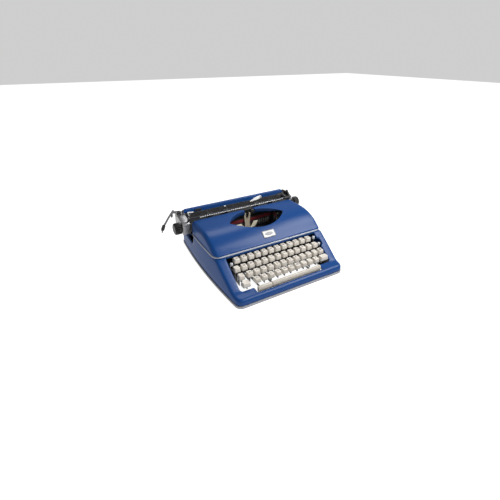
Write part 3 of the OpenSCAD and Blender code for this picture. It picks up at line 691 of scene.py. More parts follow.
# ---------------------------------------------------------------- hood
HP = catmull([[-77, 79.7], [-66, 87], [-55, 95.6], [-41, 103], [-28, 108], [-14, 111.3], [2, 113], [22, 113.4], [44, 113],
              [62, 112.6], [66, 112.4]], 12)
_s0 = (HP[3][1] - HP[0][1]) / (HP[3][0] - HP[0][0])
HP = np.vstack([[[-115, HP[0][1] - 38 * _s0]], HP, [[80, 112.0]]])
_hy = np.arange(-112, 78, 0.5)
_hz = np.interp(_hy, HP[:, 0], HP[:, 1])
_hk = np.exp(-0.5 * (np.arange(-16, 17) * 0.5 / 2.5) ** 2)
_hs = np.convolve(np.pad(_hz, 16, mode="reflect", reflect_type="odd"), _hk / _hk.sum(), mode="valid")


def hood_z(y):
    return float(np.interp(y, _hy, _hs))


def hood_n(y):
    s = (hood_z(y + 1) - hood_z(y - 1)) / 2
    k = math.hypot(1, s)
    return -s / k, 1 / k


def hood_foot(y):
    return 79.5


WC, WH, N0, N1 = 5.0, 80.0, -6.0, 24.0  # window: middle, half length; gap at the printing point
RA = (WH ** 2 + 40 ** 2) / 80
RB = (WH ** 2 + 52 ** 2) / 104


def win_front(x):
    return -37 + RA - math.sqrt(RA * RA - (x - WC) ** 2)


def win_rear(x):
    return 55 - RB + math.sqrt(RB * RB - (x - WC) ** 2)


def hood():
    R, X = 10.0, 156.8
    cols = [(-X + R - R * math.sin(t), R * (1 - math.cos(t))) for t in np.radians(np.linspace(90, 0, 9))]
    cols += [(x, 0.0) for x in np.linspace(-X + R, WC - WH, 8)[1:-1]]
    cols += [(WC - WH * math.cos(a), 0.0) for a in np.linspace(0, math.acos((WC - N0) / WH), 24)]
    cols += [(x, 0.0) for x in np.linspace(N0, N1, 10)[1:-1]]
    cols += [(WC + WH * math.cos(a), 0.0) for a in np.linspace(math.acos((N1 - WC) / WH), 0, 24)]
    cols += [(x, 0.0) for x in np.linspace(WC + WH, X - R, 8)[1:-1]]
    cols += [(X - R + R * math.sin(t), R * (1 - math.cos(t))) for t in np.radians(np.linspace(0, 90, 9))]
    NF, NR = 26, 12

    def point(x, d, y):
        ny, nz = hood_n(y)
        return (x, y - ny * d, hood_z(y) - nz * d)

    def first(x, d):
        lo, hi = -105.0, -20.0
        for _ in range(50):
            mid = (lo + hi) / 2
            p = point(x, d, mid)
            if p[2] < hood_foot(p[1]):
                lo = mid
            else:
                hi = mid
        return hi

    vs, fs = [], []
    front, rear = [], []
    for x, d in cols:
        y0 = first(x, d)
        win = abs(x - WC) < WH - 1e-6
        yf = win_front(x) if win else 3.0
        yr = win_rear(x) if win else 3.0
        front.append([point(x, d, y0 + (yf - y0) * k / NF) for k in range(NF + 1)])
        rear.append([point(x, d, yr + (64 - yr) * k / NR) for k in range(NR + 1)])
    nc = len(cols)

    def grid(rows, skip=lambda i: False):
        o, m = len(vs), len(rows[0])
        for col in rows:
            vs.extend(col)
        for i in range(len(rows) - 1):
            if skip(i):
                continue
            for k in range(m - 1):
                fs.append((o + i * m + k, o + (i + 1) * m + k, o + (i + 1) * m + k + 1, o + i * m + k + 1))

    def gap(i):
        return N0 - 0.01 < cols[i][0] < N1 + 0.01

    grid(front)
    grid(rear, lambda i: gap(i) and gap(i + 1))
    # end walls
    for c in (0, nc - 1):
        line = front[c] + rear[c][1:]
        grid([[(p[0], p[1], p[2] + (hood_foot(p[1]) - p[2]) * k / 4) for k in range(5)] for p in line])
    # collar round the window: a deep slope along its rear edge, a small lip in front
    wi = [i for i, c in enumerate(cols) if abs(c[0] - WC) <= WH + 1e-6]
    fcol, rcol = [], []
    for i in wi:
        x = cols[i][0]
        deep = 1 - ((x - WC) / WH) ** 2
        w = min(1.0, 2.2 * deep)
        p, q = front[i][-1], rear[i][0]
        fcol.append([p, (x, p[1] + 0.35 * w, p[2] - 0.25 * w), (x, p[1] + 0.7 * w, p[2] - 0.9 * w), (x, p[1] + 0.9 * w, p[2] - 4.0 * w)])
        rcol.append([q, (x, q[1] - 0.35 * w, q[2] - 0.25 * w), (x, q[1] - 0.7 * w, q[2] - 0.9 * w),
                     (WC + (x - WC) * (1 - 0.01 * w), q[1] - 1.6 * w, q[2] - 5.0 * w), (WC + (x - WC) * (1 - 0.02 * w), q[1] - 3.0 * w, q[2] - (2.0 * w + 9.0 * deep))])
    grid(fcol)
    first_slope = len(vs)
    grid(rcol, lambda i: gap(wi[i]) and gap(wi[i + 1]))
    out = []
    for x, y, z in vs:  # the ends follow the bow and the lean of the body's sides
        k = min(1.0, max(0.0, (abs(x) - 100) / 46))
        out.append((x - math.copysign(k * (bowed(y) + LEAN * (z - 79)), x), y, z))
    bm = bm_of(out, fs)
    bm.verts.index_update()
    for f in bm.faces:  # the slope behind the window, painted in a darker copy of the blue as shade
        if min(v.index for v in f.verts) >= first_slope:
            f.material_index = 2
    return bm


thicken(put(hood(), "hood_shell", "hood", [M["paint"], M["paint_in_shade"], M["paint_shaded_slope"]], "top_cover", 40, (0, 10, 60), 0.01), 2.0)
for s, nm in ((-1, "left"), (1, "right")):
    lug = prism(arc(57, 105.5, 4, 180, 360, 12) + [(61, 110.3), (53, 110.3)], s * 144.5 - 1.5, s * 144.5 + 1.5, in_yz)
    put(bevel(lug, 0.4, 2), "hood_lug_" + nm, "hood", M["steel"])


def badge():
    place = Matrix.Translation((2.5, -58.2, 93.3)) @ Matrix.Rotation(math.radians(37.5), 4, "X")
    w, d, r = 35.4, 19.4, 2.5
    levels = [(0.0, -0.4), (0.0, 0.8), (0.25, 1.1), (0.7, 1.2), (1.5, 1.2), (1.85, 1.05), (2.0, 0.75)]
    vs, fs = [], []
    n = len(rrect(w, d, r))
    for i, z in levels:
        vs += [tuple(place @ Vector((p[0], p[1], z))) for p in rrect(w - 2 * i, d - 2 * i, max(0.8, r - i))]
    for a in range(len(levels) - 1):
        fs += [(a * n + k, a * n + (k + 1) % n, (a + 1) * n + (k + 1) % n, (a + 1) * n + k) for k in range(n)]
    fs.append(tuple(range(n))[::-1])
    border = bm_of(vs, fs)
    m = len(levels) - 1
    face = bm_of(vs[m * n:], [tuple(range(n))])
    # a bare oval boss in the middle of the plate
    boss = []
    bf = []
    for i, (k, z) in enumerate(((1.0, 0.75), (0.97, 0.95), (0.9, 1.05))):
        boss += [tuple(place @ Vector((11.5 * k * math.cos(t), 4.6 * k * math.sin(t), z))) for t in np.linspace(0, 2 * math.pi, 40, endpoint=False)]
    for i in range(2):
        bf += [(i * 40 + k, i * 40 + (k + 1) % 40, (i + 1) * 40 + (k + 1) % 40, (i + 1) * 40 + k) for k in range(40)]
    bf.append(tuple(range(80, 120)))
    for f in face.faces:
        f.material_index = 1
    b2 = bm_of(boss, bf)
    return merged(border, face, b2)


put(badge(), "badge_blank", "hood", [M["badge_rim"], M["badge"]], "badge_plate", 40)

# ---------------------------------------------------------------- keyboard
PITCH, CAP, CAP_H = 19.0, 15.4, 11.0
ROWS = [(-85.4, 68.7), (-104.2, 57.6), (-122.9, 47.8), (-141.5, 40.2)]
ROW_U = [[float(i) for i in range(12)], [i - 0.5 for i in range(13) if i != 6], [i + 0.75 for i in range(12)],
         [i + 1.25 for i in range(10)]]
LEGENDS = ["1234567890-=", ["", "Q", "W", "E", "R", "T", "U", "I", "O", "P", "+", "*"], "ASDFGHJKL;:@", "ZXCVBNM,./"]
LEVELS = [(0.30, -11.0), (0.03, -10.6), (0.0, -10.0), (0.35, -6.5), (0.75, -3.2), (0.95, -1.9), (1.12, -1.15), (1.42, -0.55),
          (1.9, -0.16), (2.5, 0.0), (3.2, -0.10), (4.1, -0.38), (5.2, -0.66), (6.2, -0.82)]


def key_x(u):
    return PITCH * (u - 5.5)


def keycap(cx, cy, cz, w=CAP, d=CAP, h=CAP_H):
    vs, fs = [], []
    n = len(rrect(w, d, 3.0))
    for inset, z in LEVELS:
        zz = z * (h / 11.0) if z < -2 else z
        r = max(0.5, 2.3 - 0.1 * inset)
        lw, ld = w - 2 * inset, d - 2 * inset
        vs += [(p[0], p[1], cz + zz) for p in rrect(lw, ld, min(r, 0.46 * min(lw, ld)), 6, cx, cy)]
    for a in range(len(LEVELS) - 1):
        fs += [(a * n + k, a * n + (k + 1) % n, (a + 1) * n + (k + 1) % n, (a + 1) * n + k) for k in range(n)]
    fs.append(tuple(range(n))[::-1])
    m = (len(LEVELS) - 1) * n
    fs.append(tuple(range(m, m + n)))
    return bm_of(vs, fs)


def legend(text, cx, cy, cz, w=CAP, size=7.4):
    gv, gf = glyph(text, size, 0.12)
    ins = [l[0] for l in LEVELS[9:]]
    zs = [l[1] for l in LEVELS[9:]]
    vs = []
    for x, y, _ in gv:
        t = w / 2 - max(abs(x), abs(y))
        vs.append((cx + x, cy + y, cz + float(np.interp(t, ins, zs)) + 0.07))
    return bm_of(vs, gf)


for r in range(4):
    y, z = ROWS[r]
    put(merged(*[keycap(key_x(u), y, z) for u in ROW_U[r]]), f"keycaps_row_{r + 1}", f"key_row_{r + 1}", M["key"],
        f"keytops_row_{r + 1}", 34, merge=1e-4)
    put(merged(*[legend(t, key_x(u), y, z) for u, t in zip(ROW_U[r], LEGENDS[r]) if t]), f"legends_row_{r + 1}",
        f"key_row_{r + 1}", M["ink"], merge=1e-5, ref=(0, y, z - 20))
    cad_finish(f"key_levers_row_{r + 1}", M["dark"], 0.2)


def lever(x, y, z, half=3.5):
    pts = [(52, 39), (62, 40), (63.8, 42), (63.6, 45), (60, 48.6), (54, 49.5), (20, 34), (y + half, 27), (y + half, z), (y - half, z), (y - half, 20), (20, 26)]
    return bevel(prism(pts, x - 0.75, x + 0.75, in_yz), 0.2, 1)


def low_arm(x):
    pts = [(52, 39), (62, 40), (63.8, 42), (63.6, 45), (60, 48.6), (54, 49.5), (20, 33), (-30, 15), (-150, 15), (-152, 22), (-168, 22), (-168, 15), (-155, 15), (-149, 9),
           (-32, 9), (20, 25)]
    return bevel(prism(pts, x - 0.75, x + 0.75, in_yz), 0.2, 1)


def special(name, node, body, cx, cy, cz, w, lx, text=""):
    put(keycap(cx, cy, cz, w), name + "_cap", body, M["key"], node, 34, merge=1e-4)
    put(lever(lx, cy, cz - CAP_H), name + "_lever", body, M["dark"])
    if text:
        put(legend(text, cx, cy, cz), name + "_legend", body, M["ink"], merge=1e-5, ref=(cx, cy, cz - 20))


special("centre_key", "centre_key", "centre_key", 0, ROWS[1][0], ROWS[1][1], CAP, 0, "Y")
special("shift_left", "shift_key_left", "shift_left", -111, -143.5, 39.6, 20, key_x(-0.25))
special("shift_right", "shift_key_right", "shift_right", 114.5, -142, 40.2, 23, key_x(11.25))
special("shift_lock", "shift_lock_key", "shift_lock", -112.5, -123.4, 47.6, CAP, -118.5)


def button(name, node, body, cx, cy, cz, lx):
    prof = [(cz - 7.0, 3.6), (cz - 6.8, 4.0), (cz - 6.0, 4.2), (cz - 2.4, 4.05), (cz - 1.4, 3.8), (cz - 0.6, 3.2), (cz - 0.15, 2.3),
            (cz, 1.2), (cz + 0.02, 0.5)]
    put(lathe(prof, (cx, cy), "Z", 32), name + "_button", body, M["button"], node, 40)
    put(lever(lx, cy, cz - 7, 2.5), name + "_lever", body, M["steel"])


button("margin_release", "margin_release_key", "margin_release", -120, -89.5, 62, -123.4)
button("backspace", "backspace_key", "backspace", 124.3, -86.5, 66.5, 124)
button("ribbon_selector", "ribbon_selector_key", "ribbon_selector", 130.5, -103, 54, 131.5)

bar = [(-166.6, 17.8), (-161, 17.8), (-161, 30.3), (-161.4, 31.6), (-162.4, 32.6), (-164, 33), (-166.0, 32.6), (-167.4, 31.4), (-168.3, 29.6),
       (-168.8, 27.4), (-168.9, 24.6), (-168.3, 20.8)]
put(bevel(prism(bar, -53.6, 87, in_yz), 1.1, 3, 50), "space_bar_cap", "space_bar", M["bar"], "space_bar", 34)
put(merged(low_arm(PITCH * -2.125), low_arm(PITCH * 3.875)), "space_bar_arms", "space_bar", M["dark"])
put(bevel(prism(bar, -91.5, -54.6, in_yz), 1.1, 3, 50), "repeat_bar_cap", "repeat_bar", M["bar"], "repeat_bar", 34)
put(low_arm(PITCH * -3.875), "repeat_bar_arm", "repeat_bar", M["dark"])

# ---------------------------------------------------------------- carriage
PL = (88.0, 89.0)
cheek = [(75, 74), (75, 97), (76, 101), (79, 104.3), (84, 106.6), (107, 111.6), (130, 116.4), (135.5, 115.4), (139, 110.5), (139, 74), (135, 69.8), (79, 69.8)]


def end_cover(s):
    """A rounded outer side, and a skin over the front and top that reaches in over the end plate."""
    out = fillet(cheek, [4, 6, 4, 4, 4, 30, 5, 5, 5, 4, 4, 4], 4)
    a, b = (163.2, 176) if s > 0 else (-176, -163.2)
    side = bevel(prism(out, a, b, in_yz), 2.6, 4, 50)
    skin = catmull([(74.95, 73.2), (74.95, 85), (74.95, 94), (75.4, 99), (77, 102.4), (80.2, 105), (84, 106.65), (95, 109.05), (107, 111.65), (118, 114.05), (129.5, 116.5)], 4)
    under = [(y + 1.7, z) if z < 97 else (y + 1.0, z - 1.9) for y, z in skin[::-1]]
    a, b = (155.9, 173.4) if s > 0 else (-173.4, -155.9)
    return merged(side, bevel(prism([tuple(p) for p in skin] + under, a, b, in_yz), 0.5, 2, 50))


def screw(centre, axis, r, h, sign):
    """A domed screw head: centre is the middle of its seat."""
    x, y, z = centre
    bm = lathe([(0, r), (h * 0.45, r), (h * 0.8, r * 0.86), (h, r * 0.55), (h * 1.02, 0.2)], (0, 0), "Z", 24)
    slot = block((-r * 1.1, -0.22 * r, h * 0.55), (r * 1.1, 0.22 * r, h * 1.5))
    rot = {"X": Matrix.Rotation(math.radians(90 * sign), 4, "Y"), "Y": Matrix.Rotation(math.radians(-90 * sign), 4, "X"),
           "Z": Matrix.Identity(4)}[axis]
    slot.free()
    return moved(bm, Matrix.Translation((x, y, z)) @ rot)


put(end_cover(-1), "end_cover_left_shell", "carriage", M["silver"], "end_cover_left", 34)
put(end_cover(1), "end_cover_right_shell", "carriage", M["black"], "end_cover_right", 34)
put(lathe([(110, 6), (116.4, 6), (117.1, 5.7), (117.5, 5.0)], (-169.5, 118), "Z", 40), "lever_boss", "carriage", M["dark"])
put(block((166.5, 80, 103.0), (171, 82.4, 114), 0.7, 3), "front_tab", "carriage", M["chrome"])
for s, nm in ((-1, "left"), (1, "right")):
    a = [(s * 175.6, 8.2), (s * 176.6, 8.0), (s * 177.0, 7.2)]
    put(lathe(a, PL, "X", 40), "shaft_bush_" + nm, "carriage", M["dark"])
ears = [bevel(prism([(107, 110), (107, 118.2), (109, 121), (115, 121), (117, 118.2), (117, 112)], x, x + 2.4, in_yz), 0.5, 2) for x in (165, 173.6)]
put(merged(*ears), "release_lever_ears", "carriage", M["black"])
put(merged(*[screw((s * 175.8, y, z), "X", 2.6, 1.4, s) for s in (-1, 1) for y, z in ((126, 106), (128, 78))]), "cover_screws", "carriage",
    M["chrome"])


def paper_table():
    """The panel, and a wider band along its top that is rolled over to the back."""
    prof = [(108.0, 66.2), (108.0, 72), (108.0, 78), (108.1, 82)]
    prof += [(108.25 + 0.1756 * (z - 84), z) for z in (86, 92, 98, 104, 110, 115.2, 118, 120)]
    line = prof + [(115.1, 122.2), (116.0, 124.2), (117.4, 125.4), (119.2, 125.7), (120.8, 125.0), (121.6, 123.4)]
    band = line[len(prof) - 3:]

    def grid(cols, rows):
        m, vs, fs = len(rows), [], []
        for x in cols:
            over = max(0.0, abs(x) - 151.0)
            drop = 6 - math.sqrt(max(0.0, 36 - over * over))
            for y, z in rows:
                k = max(0.0, (z - 115.2) / 10.5)
                vs.append((x, y - drop * 0.17 * k, z - drop * k))
        for i in range(len(cols) - 1):
            fs += [(i * m + k, (i + 1) * m + k, (i + 1) * m + k + 1, i * m + k + 1) for k in range(m - 1)]
        return bm_of(vs, fs)

    wing = [146.0, 148.5, 151.0] + [151 + 6 * math.sin(t) for t in np.radians(np.linspace(12, 90, 7))]
    return merged(grid(list(np.linspace(-146, 146, 36)), line), grid(wing, band), grid([-x for x in wing[::-1]], band))


thicken(put(paper_table(), "paper_table_panel", "carriage", M["paint"], "paper_table", 40, (0, 200, 90), 0.01), 2.2, -1.0)


def on_table(bm):
    return moved(bm, Matrix.Translation((0, 108, 84)) @ Matrix.Rotation(math.radians(-9.96), 4, "X"))


arm = prism(closed_spline([(4, 0), (2.8, 3.2), (-1, 4.2), (-13, 4.9), (-25, 2.8), (-34, 0.8), (-36, -0.3), (-34, -1.4), (-25, -2.9), (-16, -4.2), (-1, -4), (2.8, -3.2)], 4),
            -3.2, -1.6, in_xz)
arm = moved(bevel(arm, 0.4, 3, 45), Matrix.Translation((77.5, 0, 33.5)) @ Matrix.Rotation(math.radians(-11), 4, "Y"))
put(on_table(arm), "paper_arm", "paper_support", M["white"], "paper_support_arm", 36)
pin = moved(lathe([(-4.0, 1.2), (-3.8, 2.1), (-3.2, 2.4), (-1.5, 1.5), (2.6, 1.5)], (0, 0), "Y", 24), Matrix.Translation((77.5, 0, 33.5)))
put(on_table(pin), "paper_arm_rivet", "paper_support", M["chrome"])
# painted highlight: a matte white dot on the paper table where a glint shows
dot = moved(lathe([(-2.4, 0.4), (-2.2, 1.3), (-1.6, 1.9), (-1.0, 2.0)], (0, 0), "Y", 24), Matrix.Translation((-37.7, 0, 28.2)))
put(on_table(dot), "table_painted_highlight_dot", "carriage", M["white"])
bracket = prism([(-162.9, 28), (-157.1, 28), (-157.1, 41.4), (-160.4, 41.4), (-162.9, 38.6)], 0.2, 2.2, in_xz)
put(on_table(bevel(bracket, 0.4, 2)), "table_bracket_left", "carriage", M["dark"])
# partly painted highlight: a paper edge guide in a pale finish, whose near-white tone also stands in for the glint of a
# chrome end
edge_guide = prism([(-148.4, 34.6), (-131.6, 32.3), (-131.2, 29.2), (-144.6, 30.9), (-143.5, 22.6), (-146.2, 22.2), (-147.6, 29)], -2.5, -1.25, in_xz)
put(on_table(bevel(edge_guide, 0.4, 2)), "paper_edge_guide", "carriage", M["scale"])
for s, nm in ((-1, "left"), (1, "right")):
    lo, hi = (146.2, 155.4) if s > 0 else (-155.4, -146.2)
    gusset = prism([(lo, 4), (hi, 4), (hi, 31.8), (lo, 31.8)], 0.8, 2.2, in_xz)
    lo, hi = (139.6, 150.8) if s > 0 else (-150.8, -139.6)
    wing = prism([(lo, 2), (hi, 2), (hi, 31.4), (lo, 31.4)], -1.2, -0.05, in_xz)
    put(on_table(merged(bevel(gusset, 0.3, 2), bevel(wing, 0.3, 2))), "table_gusset_" + nm, "carriage", M["dark"])

put(lathe([(-155, 12), (-154.6, 15.6), (-153.6, 16.7), (-152, 17), (152, 17), (153.6, 16.7), (154.6, 15.6), (155, 12)], PL, "X", 72),
    "platen_roller", "platen", M["rubber"], "platen")
cad_finish("platen_shaft", M["steel"], 0.5)
cad_finish("line_space_ratchet", M["steel"], 0.2)


def knob(s):
    prof = [(178.1, 6), (178.2, 13.0), (178.8, 14.8), (179.9, 15.5), (182.5, 15.55), (189, 15.55), (192.6, 15.5), (194.4, 14.9), (195.8, 13.6), (196.4, 11.8), (196.5, 10.0),
            (195.8, 9.2), (195.6, 7.4), (195.6, 2.5), (195.7, 0.5)]
    return lathe([(s * a, r) for a, r in prof], PL, "X", 176, (22, 1.5, 14.0))


put(knob(-1), "platen_knob_left_fluted", "platen", M["black"], "platen_knob_left", 44)
put(knob(1), "platen_knob_right_fluted", "platen", M["black"], "platen_knob_right", 44)

cad_finish("carriage_frame", M["dark"], 0.4)
cad_finish("line_scale", M["dark"], 0.25)
cad_finish("margin_rack", M["steel"], 0.2)
cad_finish("margin_stop_left", M["black"], 0.8)
cad_finish("margin_stop_right", M["black"], 0.8)
cad_finish("feed_rollers", M["rubber"], 0.3)
bail = cad_finish("paper_bail", M["dark"], 0.3)
bail.data.materials.append(M["chrome"])
for f in bail.data.polygons:  # the left end is bright
    f.material_index = 1 if sum(bail.data.vertices[i].co.x for i in f.vertices) / len(f.vertices) < -0.127 else 0
cad_finish("paper_release_lever", M["black"], 0.5)

dashes = []
for i in range(-20, 21):
    dashes.append(block((i * 6.35 - 2.5, 68.7, 115.5), (i * 6.35 + 2.5, 69.2, 117.8), 0.15, 1))
put(merged(*dashes), "scale_dashes", "carriage", M["scale"])
nums = []
for i in range(0, 12):
    gv, gf = glyph(str(i * 10), 2.2)
    x0 = (i * 10 - 55) * 2.54
    nums.append(bm_of([(x0 + v[0], 68.94, 118.5 + v[1] * 0.8) for v in gv], gf))
put(merged(*nums), "scale_numbers", "carriage", M["scale"], merge=1e-5, ref=(0, 120, 116))

rollers = []
for x in (-96, -48, 48, 96):
    rollers.append(lathe([(x - 8, 2.6), (x - 7.8, 4.4), (x - 7.2, 5.0), (x - 2, 5.0), (x - 1.6, 4.6), (x + 1.6, 4.6), (x + 2, 5.0), (x + 7.2, 5.0), (x + 7.8, 4.4), (x + 8, 2.6)],
                         (84.5, 111.1), "X", 36))
put(merged(*rollers), "bail_roller_set", "paper_bail", M["rubber"], "bail_rollers", 36)

LEV = Matrix.Translation((-169.5, 118, 0)) @ Matrix.Rotation(math.radians(240.3), 4, "Z")
blade = closed_spline([(-13, -16.8), (-11, -15.2), (0, -14.9), (30, -16.7), (60, -17.5), (80, -17.9), (103, -16.7), (116, -15.8), (119, -16.6), (116, -17.7), (103, -20.1), (80, -22.0),
                       (60, -22.1), (30, -21.3), (0, -19.7), (-11, -18.4)], 5)
web = prism([(-4.5, 0), (-6, -17), (9, -17), (4.5, 0)], 119.7, 121.7, in_xy)
put(moved(merged(bevel(prism(blade, 119.5, 122.0, in_xy), 0.6, 3, 45), bevel(web, 0.4, 2)), LEV), "return_lever_blade", "return_lever", M["lever"], "return_lever", 36)
put(lathe([(117.9, 5.4), (118.2, 5.8), (118.8, 6), (121.4, 6), (122.2, 5.7), (122.6, 4.8), (122.7, 2.4), (122.4, 2.0), (122.4, 0.3)], (-169.5, 118), "Z", 48),
    "return_lever_hub", "return_lever", M["dark"])
lug = prism([(2, 119.7), (17, 119.7), (16, 113), (12, 109.6), (6, 109.6), (3, 113)], -18.2, -15.6, in_xz)
put(moved(bevel(lug, 0.5, 2), LEV), "return_lever_lug", "return_lever", M["dark"])
grip = closed_spline([(-14, 0), (-13.2, 2.2), (-10, 3.7), (0, 4.0), (10, 3.7), (13.2, 2.2), (14, 0), (13.2, -2.2), (10, -3.7), (0, -4.0), (-10, -3.7), (-13.2, -2.2)], 4)
LEV_G = LEV @ Matrix.Translation((91, -19.8, 0)) @ Matrix.Rotation(math.radians(5), 4, "Z")
put(moved(bevel(prism(grip, 118.3, 123.1, in_xy), 1.3, 4, 45), LEV_G), "return_lever_pad", "return_lever", M["black"], "return_lever_grip", 36)
ribs = [block((-9.6 + 4.4 * k, -2.6, 122.9), (-8.0 + 4.4 * k, 2.6, 123.4), 0.3, 2) for k in range(5)]
put(moved(merged(*ribs), LEV_G), "return_lever_ribs", "return_lever", M["black"])

# ---------------------------------------------------------------- chassis and inner works
for n, m, w in (("chassis_plates", "steel", 0.4), ("key_comb", "steel", 0.2), ("key_lever_shaft", "chrome", 0.3), ("carriage_rail", "steel", 0.4),
                ("cover_hinge_pins", "chrome", 0.3), ("housing_screws", "chrome", 0.4), ("mainspring_drum", "steel", 0.6), ("escapement_wheel", "brass", 0.15),
                ("spool_cups", "black", 0.4), ("ribbon_spool_left", "black", 0.4), ("ribbon_spool_right", "black", 0.4), ("ribbon_guides", "cream", 0.5)):
    cad_finish(n, M[m], w)
for s, nm in ((-1, "left"), (1, "right")):  # shields between the body and the carriage
    shield = prism([(62.5, 61), (62.5, 68), (90.5, 68), (90.5, 49.5), (72, 53)], s * 137.5 - 1.4, s * 137.5 + 1.4, in_yz)
    put(bevel(shield, 0.3, 2), "carriage_shield_" + nm, "frame", M["dark"])
sill = [block((-136, 62.4, 60), (136, 63.6, 78.4), 0.3, 2)] + [block((s * 134 - 2, 60.8, 60), (s * 134 + 2, 63, 66), 0.3, 2) for s in (-1, 1)]
put(merged(*sill), "rear_sill", "frame", M["dark"])
guard = [block((x, 60.5, 60), (x + 3.6, 62.5, 73.6 - 0.5 * (k % 3)), 0.4, 2) for k, x in enumerate(np.arange(44.0, 126.0, 7.4)) if not 80 < x < 91]
put(merged(*guard), "type_guard_fingers", "frame", M["works"])
# painted shade: a dark sheet in the right-hand corner of the key well, where shade falls
liner = prism([(-148, 7), (-148, 19), (-120, 32), (-86, 48), (-86, 7)], 133.7, 135.5, in_yz)
put(bevel(liner, 0.3, 2), "painted_shade_liner_right", "frame", M["dark"])
guides = NODE["ribbon_guides"]
guides.data.materials.append(M["type"])
for f in guides.data.polygons:  # the two inner posts are dark, the brackets and outer posts are cream
    c = sum((guides.data.vertices[i].co for i in f.vertices), Vector()) / len(f.vertices)
    f.material_index = 1 if c.y > 0.0526 else 0


def typebars():
    """Each bar: a tapered arm and a type slug with two raised faces."""
    out = []
    for i in range(-26, 27):
        if abs(i) < 3:
            continue
        arm = prism([(-78, 56.6), (-78, 59.6), (-60, 59.9), (-30, 60), (-20.5, 60), (-20.5, 56), (-34, 56), (-60, 56.4)], -0.7, 0.7, in_yz)
        bevel(arm, 0.25, 1)
        slug = block((-1.3, -80, 56), (1.3, -75, 62), 0.4, 2)
        faces = [block((-0.9, -79.4 + 2.4 * k, 61.9), (0.9, -77.7 + 2.4 * k, 62.4), 0.2, 1) for k in range(2)]
        b = merged(arm, slug, *faces)
        out.append(moved(b, Matrix.Translation((WC, 56, 0)) @ Matrix.Rotation(math.radians(i * 2.5), 4, "Z")))
    return merged(*out)


put(typebars(), "typebar_set", "frame", M["type"], "typebars", 36)
ct = merged(bevel(prism([(-22, 56.6), (-22, 59.6), (0, 59.9), (26, 60.4), (30, 61), (32.4, 59.8), (33, 58), (32.4, 56.2), (30, 55), (26, 55.6), (0, 56.3)], -0.7, 0.7, in_yz), 0.25, 1),
            block((-1.6, -24, 56), (1.6, -19, 62), 0.5, 2), block((-0.9, -23.4, 61.9), (0.9, -21.7, 62.4), 0.2, 1), block((-0.9, -21, 61.9), (0.9, -19.3, 62.4), 0.2, 1))
put(moved(ct, Matrix.Translation((WC, 0, 0))), "centre_typebar_arm", "centre_typebar", M["type"], "centre_typebar", 36)


def segment():
    """The slotted arc that the typebars hang in: a base and a tooth between each pair of bars."""
    def wedge(a0, a1, r0, r1, z0, z1):
        p = arc(0, 56, r1, a0, a1, 3) + arc(0, 56, r0, a1, a0, 3)
        return bevel(prism(p, z0, z1, in_xy), 0.2, 1)
    out = []
    edge = [-90 + d for d in np.arange(-67.5, 68, 5.0)]
    p = arc(0, 56, 31, 192, 348, 48) + arc(0, 56, 18, 340, 200, 48)
    out.append(bevel(prism(p, 52.5, 54.6, in_xy), 0.3, 2))
    for a in edge:
        if abs(a + 90) > 4:
            out.append(wedge(a - 1.35, a + 1.35, 20.4, 30.6, 54.5, 56.0))
    return merged(*out)


put(moved(segment(), Matrix.Translation((WC, 0, 0))), "type_segment_slotted", "frame", M["steel"], "type_segment", 36)
ears2 = [block((s * 1.9 - 0.7, 27, 54), (s * 1.9 + 0.7, 33, 61), 0.3, 2) for s in (-1, 1)]
put(moved(merged(*ears2, lathe([(-2.6, 0.9), (-2.5, 1), (2.5, 1), (2.6, 0.9)], (30, 58), "X", 20)), Matrix.Translation((WC, 0, 0))), "typebar_pivot", "frame", M["steel"])

fork = []
for s in (-1, 1):
    f = [(0, 56), (9.2, 56), (8.2, 66), (7.4, 74), (8.6, 84), (9.2, 92), (9.2, 103), (5.2, 103), (4.2, 93), (1.6, 86.5), (0, 84.5)]
    b = prism([(WC + s * u, v) for u, v in f], 0, 2, in_xz)
    for v in b.verts:  # the vane leans back from the bar to the printing point
        v.co.y += float(np.interp(v.co.z, [56, 60, 70.5, 103], [55, 55, 58, 58]))
    fork.append(b)
fork += [block((WC + s * 6.6 - 2.6, 52.8, 56), (WC + s * 6.6 + 2.6, 55.4, 60), 0.3, 2) for s in (-1, 1)]
put(merged(*fork), "type_guide_fork", "frame", M["beige"], "type_guide", 36)
put(block((-136, 50, 52), (136, 53, 60), 0.6, 2), "type_guide_bar", "frame", M["type"])
head = [block((-2.5, 62.4, 99), (20.5, 65.2, 111), 0.9, 3)]
head += [block((WC + s * 6.6 - 2.6, 59.6, 99.2), (WC + s * 6.6 + 2.6, 63, 102.8), 0.4, 2) for s in (-1, 1)]
put(merged(*head), "type_guide_head", "frame", M["black"])


def ribbon_piece():
    """The tape runs from spool to spool and comes down to the printing point on the way."""
    pts = catmull([(-86.2, 20.4, 85.5), (-88, 34, 85.4), (-90.2, 50, 84.9), (-91.2, 57, 84.6), (-90.4, 60.6, 84.4), (-87, 61.4, 84.2), (-70, 61.4, 83.8), (-45, 61.4, 83.3),
                   (-12, 61.4, 82.2), (12, 61.4, 82.0), (45, 61.4, 82.6), (70, 61.4, 83.6), (87, 61.4, 84.2), (90.4, 60.6, 84.4), (91.2, 57, 84.6), (90.2, 50, 84.9),
                   (88, 34, 85.4), (86.2, 20.4, 85.5)], 6)
    path = []
    for i, p in enumerate(pts):
        a, b = pts[max(0, i - 1)], pts[min(len(pts) - 1, i + 1)]
        t = Vector((b[0] - a[0], b[1] - a[1], 0)).normalized()
        path.append((Vector(p), Vector((t.y, -t.x, 0)), Vector((0, 0, 1))))
    length = sum(float(np.linalg.norm(pts[i + 1] - pts[i])) for i in range(len(pts) - 1))
    section = [(-0.12, -6.5), (0.12, -6.5), (0.14, -3), (0.1, 0), (0.14, 3), (0.12, 6.5), (-0.12, 6.5), (-0.14, 3), (-0.1, 0), (-0.14, -3)]
    bm = sweep(path, section)
    k = len(section)
    bm.faces.ensure_lookup_table()
    for i, f in enumerate(bm.faces):  # the upper edge of the tape is inked black
        f.material_index = 1 if i % k in (4, 5, 6) and i < (len(path) - 1) * k else 0
    return bm, length


